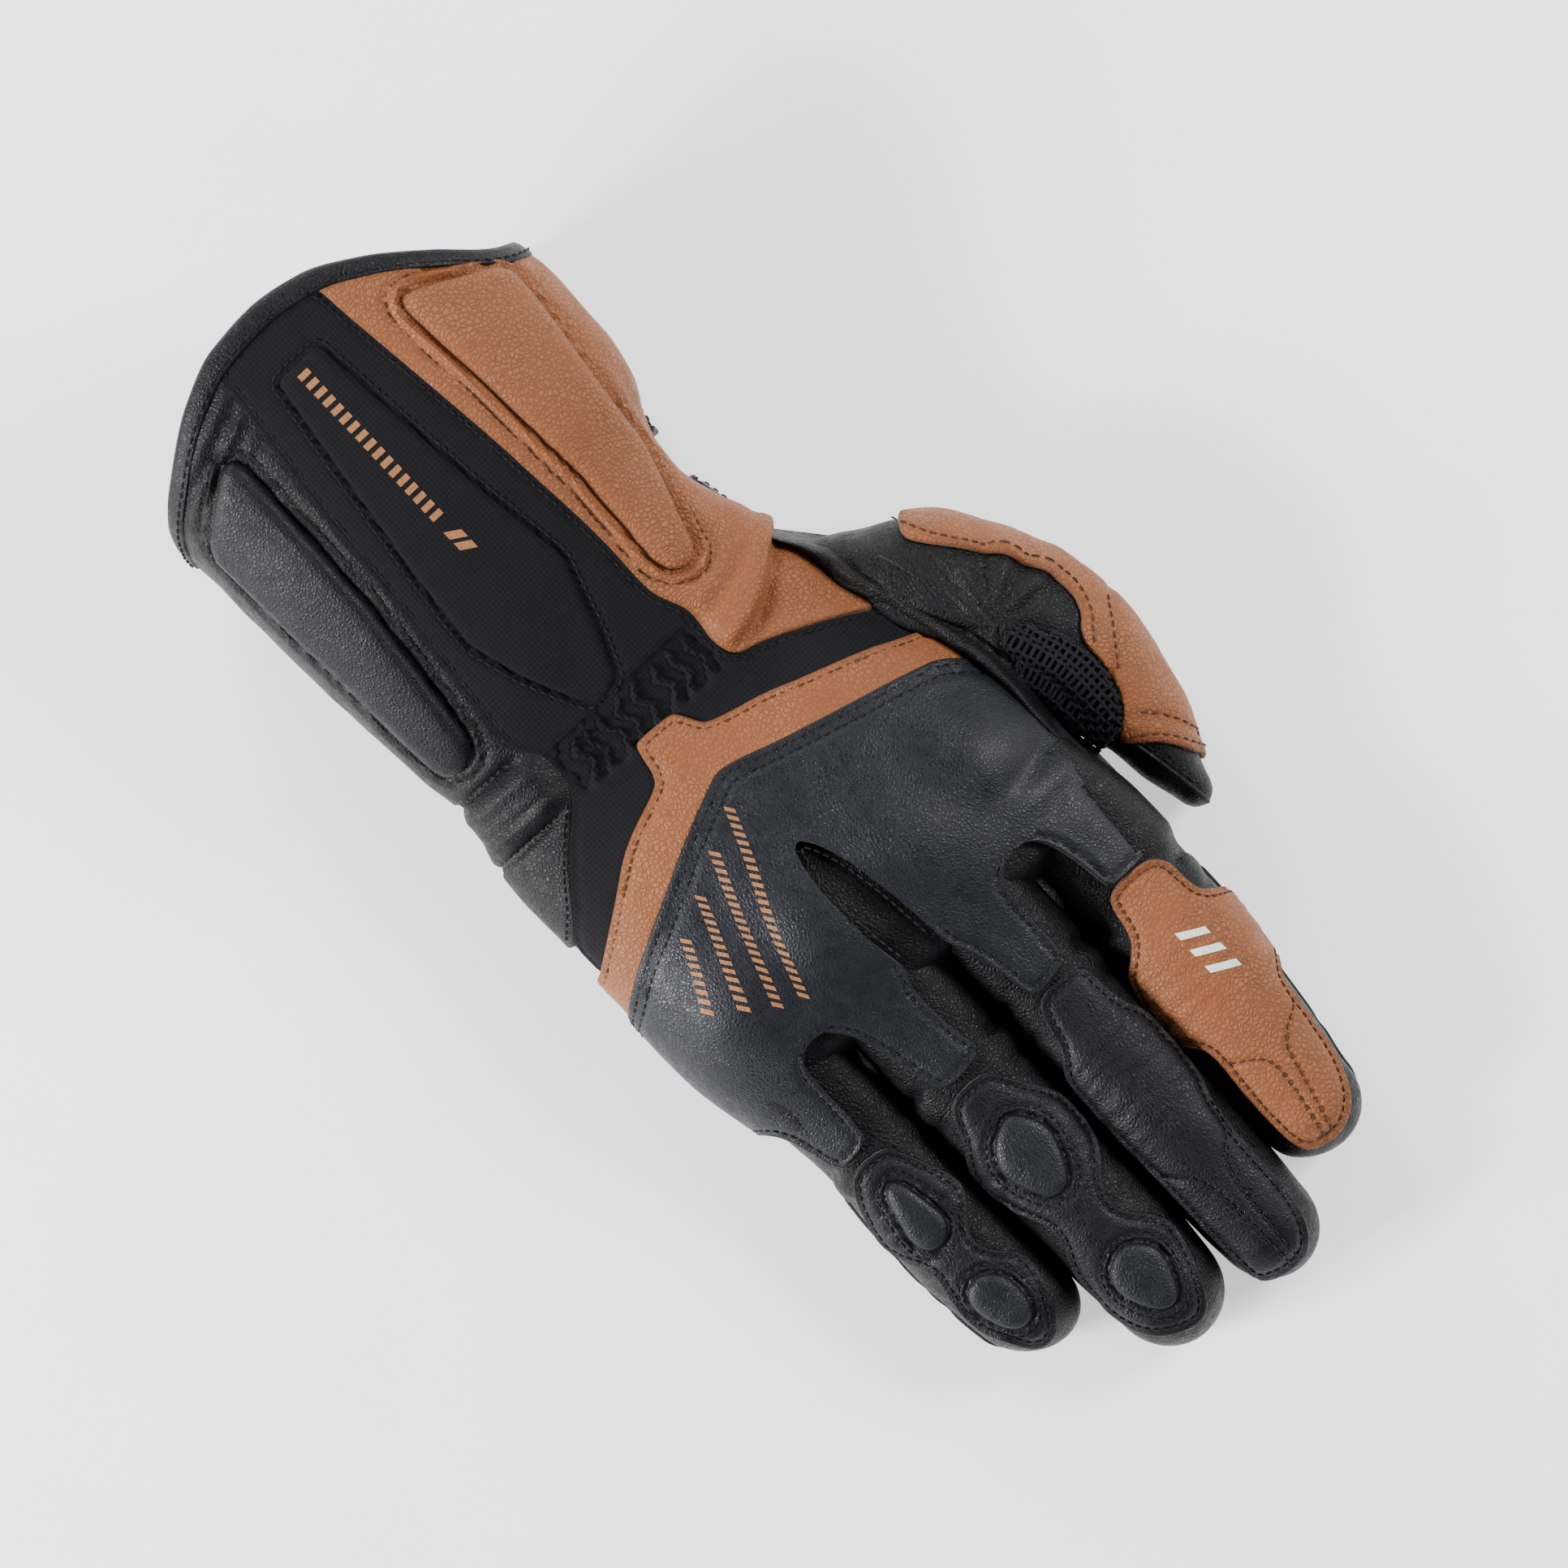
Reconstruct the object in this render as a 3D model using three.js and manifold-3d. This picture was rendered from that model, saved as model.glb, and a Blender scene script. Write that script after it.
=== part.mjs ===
// Right-hand gauntlet riding glove, lying palm down on a surface. Millimetres.
// +X runs from the cuff to the fingertips, +Y towards the thumb, +Z out of the back of the hand.
// The origin is on the lower face of the palm grip patch, on the hand's centre line.

import * as THREE from "three";
import { ParametricGeometry } from "three/addons/geometries/ParametricGeometry.js";
import { mergeVertices } from "three/addons/utils/BufferGeometryUtils.js";
import Module from "manifold-3d";

const wasm = await Module();
wasm.setup();

// ---- Driving dimensions ----

const GAP = 0.4; // clearance between neighbouring pieces
const SHELL = [-2, 0]; // layers, as offsets from the outer surface of the hand and cuff
const ARMOUR = [-4.4, -2.4];
const LINER = [-5.6, -4.8];
const OVERLAY = [0.4, 1.8];
const PAD = [0.4, 3.8];
const FINGER_WALL = 2.2;
const FINGER_PAD = [2.2, 4.2];

const TOP_SQUARENESS = 2.4; // superellipse exponents of the sections
const UNDERSIDE_SQUARENESS = 3.6;
const TRUNK_SIDES = 24;
const FINGER_SIDES = 12;
const SPLIT_Z = 14; // seam between the back of the glove and its palm side

const CUFF_START = -148; // the cuff's edge at its sides
const BINDING_WIDTH = 4;
const BINDING_GAP = 1.4; // wider than GAP, because the leaning edge closes on it
const CUFF_END = -56; // the wrist gusset fills from here to the hand
const HAND_START = -44;
const HAND_END = 40; // the four finger roots
const CUFF_FLARE = 30; // how far the cuff's edge reaches back at the top
const FLARE_LENGTH = 33;

// Sections of the trunk: x, little-finger side y, thumb side y, underside z, top z.
const TRUNK = [
  [-154, -53, 47, 4, 66],
  [-135, -52, 49, 4, 65],
  [-120, -51, 48.5, 4, 63],
  [-105, -50.5, 46, 4, 60],
  [-90, -49.5, 42, 4.5, 56],
  [-75, -48.5, 42, 6, 52],
  [CUFF_END, -46.5, 46.5, 6, 48],
  [HAND_START, -48, 51, 4, 46],
  [-30, -50, 55, 2.4, 46],
  [-12, -50.5, 59, 2.2, 47],
  [8, -49.5, 61.5, 2.2, 47.5],
  [25, -48, 64.5, 2.2, 46],
  [HAND_END, -46, 67, 2.6, 42],
  [62, -50, 68, 3, 38.5],
];

const KNUCKLE_Z = 24; // finger root hinges
const KNUCKLE_BEND = 50;
const MIDDLE_JOINT_Z = 17;
const MIDDLE_JOINT_BEND = 60;
const THUMB_TIP_BEND = 45;
const NOTCH_MARGIN = 1.5; // degrees of spare opening on each side of a flex notch

// Fingers: centre y and top z at the root and at the tip, half width, tip x, middle joint x.
const FINGERS = {
  index: { yRoot: 52.3, yTip: 48, zRoot: 35, zTip: 25, halfWidth: 13.4, tipX: 131, jointX: 80 },
  middle: { yRoot: 23.4, yTip: 22.4, zRoot: 36, zTip: 25, halfWidth: 12.5, tipX: 146, jointX: 88 },
  ring: { yRoot: -4.6, yTip: -4.6, zRoot: 36, zTip: 25, halfWidth: 13.4, tipX: 142, jointX: 84.5 },
  little: { yRoot: -32.8, yTip: -30, zRoot: 31.5, zTip: 23, halfWidth: 12.1, tipX: 121, jointX: 77 },
};

// The thumb's centre line and sections: x, y, half width, underside z, top z.
const THUMB = [
  [-38, 56, 15, 7, 38],
  [-24, 66, 17, 5, 37],
  [-6, 75, 16.5, 3.5, 35],
  [12, 79.5, 13.5, 2, 31],
  [28, 79.5, 10.5, 1, 27],
  [40, 78.5, 8.5, 1.5, 24],
  [48, 78, 6, 3.5, 20],
  [52, 78, 3, 7, 16],
];
const THUMB_JOINT_X = 24;
const THUMB_JOINT_Z = 17;

// ---- Materials ----

const finish = (color, roughness, metalness = 0) =>
  new THREE.MeshStandardMaterial({ color, roughness, metalness });
const tanLeather = finish(0xb07045, 0.62);
const blackLeather = finish(0x1d1e21, 0.55);
const shieldLeather = finish(0x2b2d32, 0.6);
const stretchFabric = finish(0x17181d, 0.9);
const meshFabric = finish(0x121317, 0.8);
const hookAndLoop = finish(0x0e0e10, 0.95);
const lining = finish(0x3a3b40, 0.9);
const hardShell = finish(0x222326, 0.4);

// ---- Solids ----

// A manifold solid from a closed three.js geometry, with its faces turned to point out.
function solid(geometry) {
  const loose = geometry.index ? geometry.toNonIndexed() : geometry;
  const bare = new THREE.BufferGeometry();
  bare.setAttribute("position", loose.getAttribute("position"));
  const merged = mergeVertices(bare, 1e-3);
  const points = merged.getAttribute("position");
  const corners = [...merged.index.array];
  const [a, b, c] = [new THREE.Vector3(), new THREE.Vector3(), new THREE.Vector3()];
  const triangles = [];
  let volume = 0;
  for (let i = 0; i < corners.length; i += 3) {
    const [p, q, r] = corners.slice(i, i + 3);
    if (p === q || q === r || r === p) continue;
    triangles.push([p, q, r]);
    a.fromBufferAttribute(points, p);
    b.fromBufferAttribute(points, q);
    c.fromBufferAttribute(points, r);
    volume += a.dot(b.cross(c)) / 6;
  }
  const facing = volume < 0 ? triangles.map(([p, q, r]) => [p, r, q]) : triangles;
  return new wasm.Manifold(
    new wasm.Mesh({
      numProp: 3,
      vertProperties: new Float32Array(points.array),
      triVerts: new Uint32Array(facing.flat()),
    }),
  );
}

// Skins a row of rings and closes both ends on the rings' centres. A ring maps an angle to a point.
function loft(rings, sides) {
  const last = rings.length + 1;
  const centreOf = (ring) => ring(0).add(ring(Math.PI)).multiplyScalar(0.5);
  const surface = (u, v, target) => {
    const k = Math.round(v * last);
    const point =
      k === 0
        ? centreOf(rings[0])
        : k === last
          ? centreOf(rings.at(-1))
          : rings[k - 1](2 * Math.PI * (u % 1));
    target.copy(point);
  };
  return solid(new ParametricGeometry(surface, sides, last));
}

// An upright prism over an outline of [x, y] points.
function prism(outline, zLow, zHigh) {
  const shape = new THREE.Shape(outline.map(([x, y]) => new THREE.Vector2(x, y)));
  const geometry = new THREE.ExtrudeGeometry(shape, { depth: zHigh - zLow, bevelEnabled: false });
  return solid(geometry.translate(0, 0, zLow));
}

// A prism over a side-view outline of [x, z] points, across the whole width.
function sidePrism(outline) {
  const width = 300;
  const shape = new THREE.Shape(outline.map(([x, z]) => new THREE.Vector2(x, z)));
  const geometry = new THREE.ExtrudeGeometry(shape, { depth: width, bevelEnabled: false });
  return solid(geometry.rotateX(Math.PI / 2).translate(0, width / 2, 0));
}

function box([xLow, yLow, zLow], [xHigh, yHigh, zHigh]) {
  const geometry = new THREE.BoxGeometry(xHigh - xLow, yHigh - yLow, zHigh - zLow);
  return solid(
    geometry.translate((xLow + xHigh) / 2, (yLow + yHigh) / 2, (zLow + zHigh) / 2),
  );
}

// Everything between two x planes, and optionally two z planes.
const slab = (xLow, xHigh, zLow = -50, zHigh = 150) =>
  box([xLow, -150, zLow], [xHigh, 150, zHigh]);

// A flat plate with rounded corners, by extruding a rounded outline.
function plate([xLow, yLow], [xHigh, yHigh], zLow, zHigh, radius) {
  const shape = new THREE.Shape();
  const corners = [
    [xHigh - radius, yLow + radius, -Math.PI / 2],
    [xHigh - radius, yHigh - radius, 0],
    [xLow + radius, yHigh - radius, Math.PI / 2],
    [xLow + radius, yLow + radius, Math.PI],
  ];
  for (const [x, y, start] of corners)
    shape.absarc(x, y, radius, start, start + Math.PI / 2, false);
  shape.closePath();
  const geometry = new THREE.ExtrudeGeometry(shape, {
    depth: zHigh - zLow,
    bevelEnabled: false,
    curveSegments: 3,
  });
  return solid(geometry.translate(0, 0, zLow));
}

// ---- Sections ----

const mix = (a, b, t) => a + (b - a) * t;

// The table's row at x, by straight interpolation between its rows.
function rowAt(table, x) {
  const k = Math.min(
    Math.max(table.findIndex((row) => row[0] >= x), 1),
    table.length - 1,
  );
  const [before, after] = [table[k - 1], table[k]];
  const t = (x - before[0]) / (after[0] - before[0]);
  return before.map((value, i) => mix(value, after[i], t));
}

// A point of a superellipse, boxier below its middle, as [sideways, up].
function sectionPoint(angle, halfWidth, halfHeight) {
  const [c, s] = [Math.cos(angle), Math.sin(angle)];
  const power = 2 / (s < 0 ? UNDERSIDE_SQUARENESS : TOP_SQUARENESS);
  return [
    halfWidth * Math.sign(c) * Math.abs(c) ** power,
    halfHeight * Math.sign(s) * Math.abs(s) ** power,
  ];
}

function smooth(t) {
  const held = Math.min(Math.max(t, 0), 1);
  return held * held * (3 - 2 * held);
}

// How far the cuff leans back at this x and angle, so that its edge is an arc seen from above.
function flareAt(x, angle) {
  const up = Math.max(Math.sin(angle), 0);
  return CUFF_FLARE * up ** 2.6 * smooth((CUFF_START + FLARE_LENGTH - x) / FLARE_LENGTH);
}

function trunkRing(x, offset, slide = 0) {
  const [, yLow, yHigh, zLow, zHigh] = rowAt(TRUNK, x);
  return (angle) => {
    const [side, up] = sectionPoint(
      angle,
      (yHigh - yLow) / 2 + offset,
      (zHigh - zLow) / 2 + offset,
    );
    return new THREE.Vector3(
      x + slide - flareAt(x, angle),
      (yLow + yHigh) / 2 + side,
      (zLow + zHigh) / 2 + up,
    );
  };
}

const trunkXs = [
  CUFF_START + BINDING_WIDTH + BINDING_GAP,
  ...TRUNK.map(([x]) => x).filter((x) => x > CUFF_START + 2 * BINDING_WIDTH),
];

// The tube between two offsets from the trunk's surface, open at both ends.
function trunkLayer([inner, outer], xs = trunkXs) {
  const clear = 8;
  const outside = xs.map((x) => trunkRing(x, outer));
  const inside = [
    trunkRing(xs[0], inner, -clear),
    ...xs.map((x) => trunkRing(x, inner)),
    trunkRing(xs.at(-1), inner, clear),
  ];
  return loft(outside, TRUNK_SIDES).subtract(loft(inside, TRUNK_SIDES));
}

const trunkSolid = (offset) =>
  loft(
    trunkXs.map((x) => trunkRing(x, offset)),
    TRUNK_SIDES,
  );

// ---- The export ----

const glove = new THREE.Group();

function add(name, shape, material) {
  const { vertProperties, triVerts } = shape.getMesh();
  const geometry = new THREE.BufferGeometry();
  geometry.setAttribute("position", new THREE.BufferAttribute(vertProperties, 3));
  geometry.setIndex(new THREE.BufferAttribute(triVerts, 1));
  geometry.computeVertexNormals();
  const mesh = new THREE.Mesh(geometry, material);
  mesh.name = name;
  glove.add(mesh);
}

// ---- Flex notches ----

// The palm side of a hinge is cut away on each side, so that the two halves meet at full bend.
// `side` is -1 for the piece behind the hinge and +1 for the piece in front of it.
function flexNotch(x, z, bend, side) {
  const reach = 40;
  const spread = reach * Math.tan(THREE.MathUtils.degToRad(bend / 2 + NOTCH_MARGIN));
  const edge = x + (side * GAP) / 2;
  return sidePrism([
    [edge, z],
    [edge + side * spread, z - reach],
    [x - side * 60, z - reach],
    [x - side * 60, z],
  ]);
}

// ---- Thumb ----

// A ring square to the thumb's centre line, or slid along it.
function thumbRing(k, offset, slide = 0) {
  const [x, y, halfWidth, zLow, zHigh] = THUMB[k];
  const before = THUMB[Math.max(k - 1, 0)];
  const after = THUMB[Math.min(k + 1, THUMB.length - 1)];
  const along = new THREE.Vector2(after[0] - before[0], after[1] - before[1]).normalize();
  return (angle) => {
    const [side, up] = sectionPoint(angle, halfWidth + offset, (zHigh - zLow) / 2 + offset);
    return new THREE.Vector3(
      x + along.x * slide - along.y * side,
      y + along.y * slide + along.x * side,
      (zLow + zHigh) / 2 + up,
    );
  };
}

const thumbSolid = (offset, tipSlide = 0) =>
  loft(
    THUMB.map((_, k) => thumbRing(k, offset, k > 5 ? tipSlide : 0)),
    FINGER_SIDES,
  );

const thumbCavity = thumbSolid(-FINGER_WALL, -FINGER_WALL);
const thumbPassage = thumbSolid(-FINGER_WALL + GAP);

// ---- Cuff ----

const shell = trunkLayer(SHELL);
const overlay = trunkLayer(OVERLAY);
const padLayer = trunkLayer(PAD);

const cuffXs = [CUFF_START, CUFF_START + BINDING_WIDTH];
const backOf = slab(-200, CUFF_END, SPLIT_Z + GAP / 2);
const cuffBack = shell.intersect(backOf);

// Seams along the back of the cuff, as [x, y] from the edge to the wrist.
const thumbSeam = [
  [-200, 8],
  [-171, 8],
  [-140, 12],
  [-100, 16],
  [-70, 16.5],
  [-58, 20],
  [CUFF_END + 1, 20],
];
const outerSeam = [
  [-200, -20],
  [-172, -20],
  [-130, -25],
  [-90, -28],
  [-65, -30],
  [CUFF_END + 1, -27],
];
const shifted = (line, dy) => line.map(([x, y]) => [x, y + dy]);
const far = 90;

const thumbRegion = prism(
  [...shifted(thumbSeam, GAP / 2), [CUFF_END + 1, far], [-200, far]],
  -10,
  100,
);
const outerRegion = prism(
  [...shifted(outerSeam, -GAP / 2), [CUFF_END + 1, -far], [-200, -far]],
  -10,
  100,
);
const centreRegion = prism(
  [...shifted(thumbSeam, -GAP / 2), ...shifted(outerSeam, GAP / 2).reverse()],
  -10,
  100,
);

add("cuff_thumb_panel", cuffBack.intersect(thumbRegion), tanLeather);
add("cuff_centre_panel", cuffBack.intersect(centreRegion), stretchFabric);
add("cuff_outer_panel", cuffBack.intersect(outerRegion), blackLeather);
add(
  "cuff_palm_panel",
  shell.intersect(slab(-200, CUFF_END, -10, SPLIT_Z - GAP / 2)),
  blackLeather,
);
add("cuff_binding", trunkLayer([-2.8, 0.8], cuffXs), blackLeather);
add(
  "cuff_liner",
  trunkLayer(LINER).intersect(slab(-200, CUFF_END)),
  lining,
);

const thumbPadOutline = [
  [-156, 22],
  [-146, 42],
  [-138, 42.5],
  [-100, 36.5],
  [-70, 30],
  [-67, 25],
  [-72, 21],
  [-100, 22],
  [-152, 19],
];
const centrePadOutline = [
  [-161, -2],
  [-158, 0],
  [-88, 8],
  [-60, -2],
  [-58, -6],
  [-62, -11],
  [-90, -21],
  [-158, -12],
];
const outerPadOutline = [
  [-155, -32],
  [-143, -46],
  [-100, -44],
  [-72, -42],
  [-67, -39],
  [-72, -35],
  [-110, -31],
  [-150, -30],
];
const upperHalf = slab(-200, HAND_END + 60, 20);
add(
  "cuff_thumb_pad",
  padLayer.intersect(prism(thumbPadOutline, 20, 100)),
  tanLeather,
);
add(
  "cuff_centre_pad",
  overlay.intersect(prism(centrePadOutline, 20, 100)),
  stretchFabric,
);
add(
  "cuff_outer_pad",
  padLayer.intersect(prism(outerPadOutline, 20, 100)),
  blackLeather,
);

// ---- Cuff closure: a flap on the palm side, held by hook-and-loop ----

const FLAP_X = [-140, -94];
const FLAP_HINGE_Y = 40;
const FLAP_END_Y = -24;
const FLAP_TOP = 1.4;

add(
  "cuff_flap",
  plate([FLAP_X[0], FLAP_END_Y], [FLAP_X[1], FLAP_HINGE_Y - GAP], 0, FLAP_TOP, 8),
  blackLeather,
);
add(
  "cuff_flap_hook",
  plate([FLAP_X[0] + 6, FLAP_END_Y + 5], [FLAP_X[1] - 6, 2], FLAP_TOP + 0.3, 2.3, 3),
  hookAndLoop,
);
add(
  "cuff_flap_pull",
  plate([-124, FLAP_END_Y - 12], [-110, FLAP_END_Y - 0.3], 0.1, FLAP_TOP, 4),
  blackLeather,
);
add(
  "cuff_loop_patch",
  plate([FLAP_X[0] + 4, FLAP_END_Y + 2], [FLAP_X[1] - 4, 12], 2.6, 3.6, 3),
  hookAndLoop,
);
add(
  "cuff_flap_anchor",
  overlay.intersect(box([FLAP_X[0], 36, 5.5], [FLAP_X[1], 70, SPLIT_Z + 6])),
  blackLeather,
);

// ---- Wrist: strap, gusset and elastic ----

const STRAP_X = [-82, -64];
const STRAP_HINGE_Y = 36;
const STRAP_Z = [2, 3.4];

add(
  "wrist_strap",
  plate([STRAP_X[0], -22], [STRAP_X[1], STRAP_HINGE_Y - GAP], ...STRAP_Z, 6),
  blackLeather,
);
add(
  "wrist_strap_hook",
  plate([STRAP_X[0] + 3, -18], [STRAP_X[1] - 3, 2], STRAP_Z[1] + 0.3, 4.3, 2),
  hookAndLoop,
);
add(
  "wrist_loop_patch",
  plate([STRAP_X[0] + 1, -20], [STRAP_X[1] - 1, 14], 4.6, 5.2, 2),
  hookAndLoop,
);
add(
  "wrist_strap_anchor",
  overlay.intersect(box([STRAP_X[0], 32, 7.5], [STRAP_X[1], 70, SPLIT_Z + 6])),
  blackLeather,
);

const wristSlab = slab(CUFF_END + GAP, HAND_START - GAP);
add("wrist_gusset", shell.intersect(wristSlab), stretchFabric);
add("wrist_elastic", trunkLayer([-3.4, -2.4]).intersect(wristSlab), stretchFabric);

// ---- Hand ----

const handNotch = flexNotch(HAND_END, KNUCKLE_Z, KNUCKLE_BEND, -1);
const handSlab = slab(HAND_START, HAND_END - GAP / 2);
const handShell = shell.intersect(handSlab).subtract(handNotch).subtract(thumbPassage);
const handBack = handShell.intersect(slab(-200, 200, SPLIT_Z + GAP / 2));

// The tan gusset beyond the wrist and the leather at the heel of the hand, beside the textile.
const tanSeam = [
  [HAND_START - 1, 20],
  [-43, 28],
  [-35, 45],
  [-28, 56],
  [-26, far],
];
const heelSeam = [
  [HAND_START - 1, -27],
  [-40, -34],
  [-33, -40],
  [-22, -48],
  [-14, -far],
];
const tanGusset = prism([...tanSeam, [HAND_START - 1, far]], 0, 100);
const heelRegion = prism([...heelSeam, [HAND_START - 1, -far]], 0, 100);
const grown = (line, dx) => line.map(([x, y]) => [x + dx, y]);
const backRegion = prism(
  [...grown(tanSeam, GAP), [HAND_END + 10, far], [HAND_END + 10, -far], ...grown(heelSeam, GAP).reverse()],
  0,
  100,
);
add("hand_tan_gusset", handBack.intersect(tanGusset), tanLeather);
add("hand_heel_panel", handBack.intersect(heelRegion), blackLeather);
add("hand_back_panel", handBack.intersect(backRegion), stretchFabric);
add("palm_panel", handShell.intersect(slab(-200, 200, -10, SPLIT_Z - GAP / 2)), blackLeather);
add(
  "hand_liner",
  trunkLayer(LINER)
    .intersect(slab(HAND_START, HAND_END - 12))
    .subtract(thumbSolid(GAP)),
  lining,
);

const bandOutline = [
  [-19.5, 56.5],
  [-25, 44],
  [-34, 20],
  [-38, 6],
  [-43.5, 3],
  [-43.5, -8.5],
  [-36, -10.5],
  [-28, -28],
  [-13, -47],
  [-3.5, -47],
  [-10.4, -37],
  [-24.4, -9],
  [-28, 0],
  [-14.4, 48],
  [-9, 56.5],
];
const shieldOutline = [
  [-7.5, 58],
  [-14, 48],
  [-27.6, 0],
  [-24, -9],
  [-10, -37],
  [-3, -47],
  [30, -45.5],
  [40, -45],
  [56.5, -40],
  [57, -32],
  [54, -30.5],
  [34, -30],
  [30, -25],
  [34, -19],
  [59, -11],
  [59.5, -4],
  [56, 1],
  [34, 1.5],
  [2, 0],
  [-3.5, 3],
  [4, 7.5],
  [32, 11.5],
  [42, 15.5],
  [58, 18],
  [57, 29],
  [38, 30],
  [31, 34],
  [31, 41],
  [38, 45.5],
  [51.5, 47],
  [51.5, 57.5],
  [24, 58],
];
const overlayTop = overlay.intersect(upperHalf);
add("hand_tan_band", overlayTop.intersect(prism(bandOutline, 0, 100)), tanLeather);
add("knuckle_shield", overlayTop.intersect(prism(shieldOutline, 0, 100)), shieldLeather);

const armourOutline = [
  [-6, 48],
  [-14, 20],
  [-10, -8],
  [4, -30],
  [24, -38],
  [32, -30],
  [36, 0],
  [35, 30],
  [28, 52],
];
add(
  "knuckle_armour",
  trunkLayer(ARMOUR).intersect(prism(armourOutline, 20, 100)),
  hardShell,
);

const PALM_PATCH_TOP = 1.8;
add("palm_grip_patch", plate([-25, -9], [25, 42], 0, PALM_PATCH_TOP, 10), blackLeather);
add("palm_heel_slider", plate([-34, -42], [18, -11], 0, PALM_PATCH_TOP, 12), hardShell);

// ---- Fingers ----

// Half width, underside and top of a finger at x, rounding off over its last stretch.
function fingerRow({ halfWidth, tipX, zRoot, zTip }, x) {
  const dome = 13;
  const left = Math.max(0, (x - (tipX - dome)) / dome);
  const round = Math.sqrt(Math.max(0, 1 - (0.96 * left) ** 2));
  const along = (x - HAND_END) / (tipX - HAND_END);
  const zLow = mix(2.6, 0.3, Math.min(1, along * 2));
  const zHigh = mix(zRoot, zTip, along);
  const middle = mix(zLow, zHigh, 0.42);
  return [halfWidth * round, mix(middle, zLow, round), mix(middle, zHigh, round)];
}

function fingerRing(finger, x, offset, slide = 0) {
  const [halfWidth, zLow, zHigh] = fingerRow(finger, x);
  const y = mix(finger.yRoot, finger.yTip, (x - HAND_END) / (finger.tipX - HAND_END));
  return (angle) => {
    const [side, up] = sectionPoint(angle, halfWidth + offset, (zHigh - zLow) / 2 + offset);
    return new THREE.Vector3(x + slide, y + side, (zLow + zHigh) / 2 + up);
  };
}

const fingerXs = ({ jointX, tipX }) => [
  HAND_END,
  60,
  jointX,
  tipX - 32,
  tipX - 13,
  tipX - 7,
  tipX - 2.5,
  tipX,
];

function fingerSolid(finger, offset, extend = 0) {
  const xs = fingerXs(finger);
  const rings = xs.map((x, k) => fingerRing(finger, x, offset, k > 5 ? extend : 0));
  return loft([fingerRing(finger, HAND_END, offset, -8), ...rings], FINGER_SIDES);
}

const fingerShell = (finger) =>
  fingerSolid(finger, 0).subtract(fingerSolid(finger, -FINGER_WALL, -FINGER_WALL));
const fingerLayer = (finger, [inner, outer]) =>
  fingerSolid(finger, outer, outer).subtract(fingerSolid(finger, inner, inner));

// Leather overlays on the finger backs: [x, distance from the centre line on each side].
const OVERLAY_SHAPES = {
  index: [
    [53.5, 7],
    [66, 8],
    [71, 12],
    [87, 12],
    [95, 9.5],
    [118, 9],
    [126, 5],
  ],
  middle: [
    [60.5, 6.5],
    [74, 7.5],
    [79, 11.4],
    [97, 11.4],
    [102, 9],
    [134, 8],
    [141, 4],
  ],
  ring: [
    [63, 5],
    [75, 11],
    [92, 11.5],
    [100, 6],
    [108, 6],
    [114, 10],
    [132, 8],
    [137, 4],
  ],
  little: [
    [61, 5],
    [69, 10],
    [82, 10.5],
    [89, 6],
    [94, 6],
    [99, 9.5],
    [113, 7],
    [116, 4],
  ],
};

function overlayPrism(finger, shape) {
  const centre = (x) =>
    mix(finger.yRoot, finger.yTip, (x - HAND_END) / (finger.tipX - HAND_END));
  const left = shape.map(([x, reach]) => [x, centre(x) + reach]);
  const right = shape.map(([x, reach]) => [x, centre(x) - reach]);
  return prism([...left, ...right.reverse()], MIDDLE_JOINT_Z + 1, 100);
}

// Oval armour pads over the middle and end joints: centre x, half length, half width, y shift.
const FINGER_PADS = {
  ring: [
    ["ring_joint_pad", 84.5, 10.5, 7, -2],
    ["ring_tip_pad", 122, 9.5, 6.3, -2],
  ],
  little: [
    ["little_joint_pad", 76.5, 10, 4.6, -3],
    ["little_tip_pad", 105, 7.5, 5, -3],
  ],
};

function padPrism(x, y, halfLength, halfWidth) {
  const geometry = new THREE.CylinderGeometry(1, 1, 40, 14);
  geometry.rotateX(Math.PI / 2).scale(halfLength, halfWidth, 1).translate(x, y, 40);
  return solid(geometry);
}

for (const [name, finger] of Object.entries(FINGERS)) {
  const { jointX } = finger;
  const shellOfFinger = fingerShell(finger);
  const base = shellOfFinger
    .intersect(slab(HAND_END + GAP / 2, jointX - GAP / 2))
    .subtract(flexNotch(HAND_END, KNUCKLE_Z, KNUCKLE_BEND, 1))
    .subtract(flexNotch(jointX, MIDDLE_JOINT_Z, MIDDLE_JOINT_BEND, -1));
  const tip = shellOfFinger
    .intersect(slab(jointX + GAP / 2, 200))
    .subtract(flexNotch(jointX, MIDDLE_JOINT_Z, MIDDLE_JOINT_BEND, 1));
  add(`${name}_base`, base, blackLeather);
  add(`${name}_tip`, tip, blackLeather);

  const leather = name === "index" ? tanLeather : blackLeather;
  const top = fingerLayer(finger, OVERLAY).intersect(
    overlayPrism(finger, OVERLAY_SHAPES[name]),
  );
  add(`${name}_base_overlay`, top.intersect(slab(0, jointX - GAP / 2)), leather);
  add(`${name}_tip_overlay`, top.intersect(slab(jointX + GAP / 2, 200)), leather);

  for (const [padName, x, halfLength, halfWidth, shift] of FINGER_PADS[name] ?? []) {
    const y = mix(finger.yRoot, finger.yTip, (x - HAND_END) / (finger.tipX - HAND_END));
    const under = padPrism(x, y + shift, halfLength, halfWidth);
    add(padName, fingerLayer(finger, FINGER_PAD).intersect(under), shieldLeather);
  }
}

// ---- Thumb pieces ----

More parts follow.
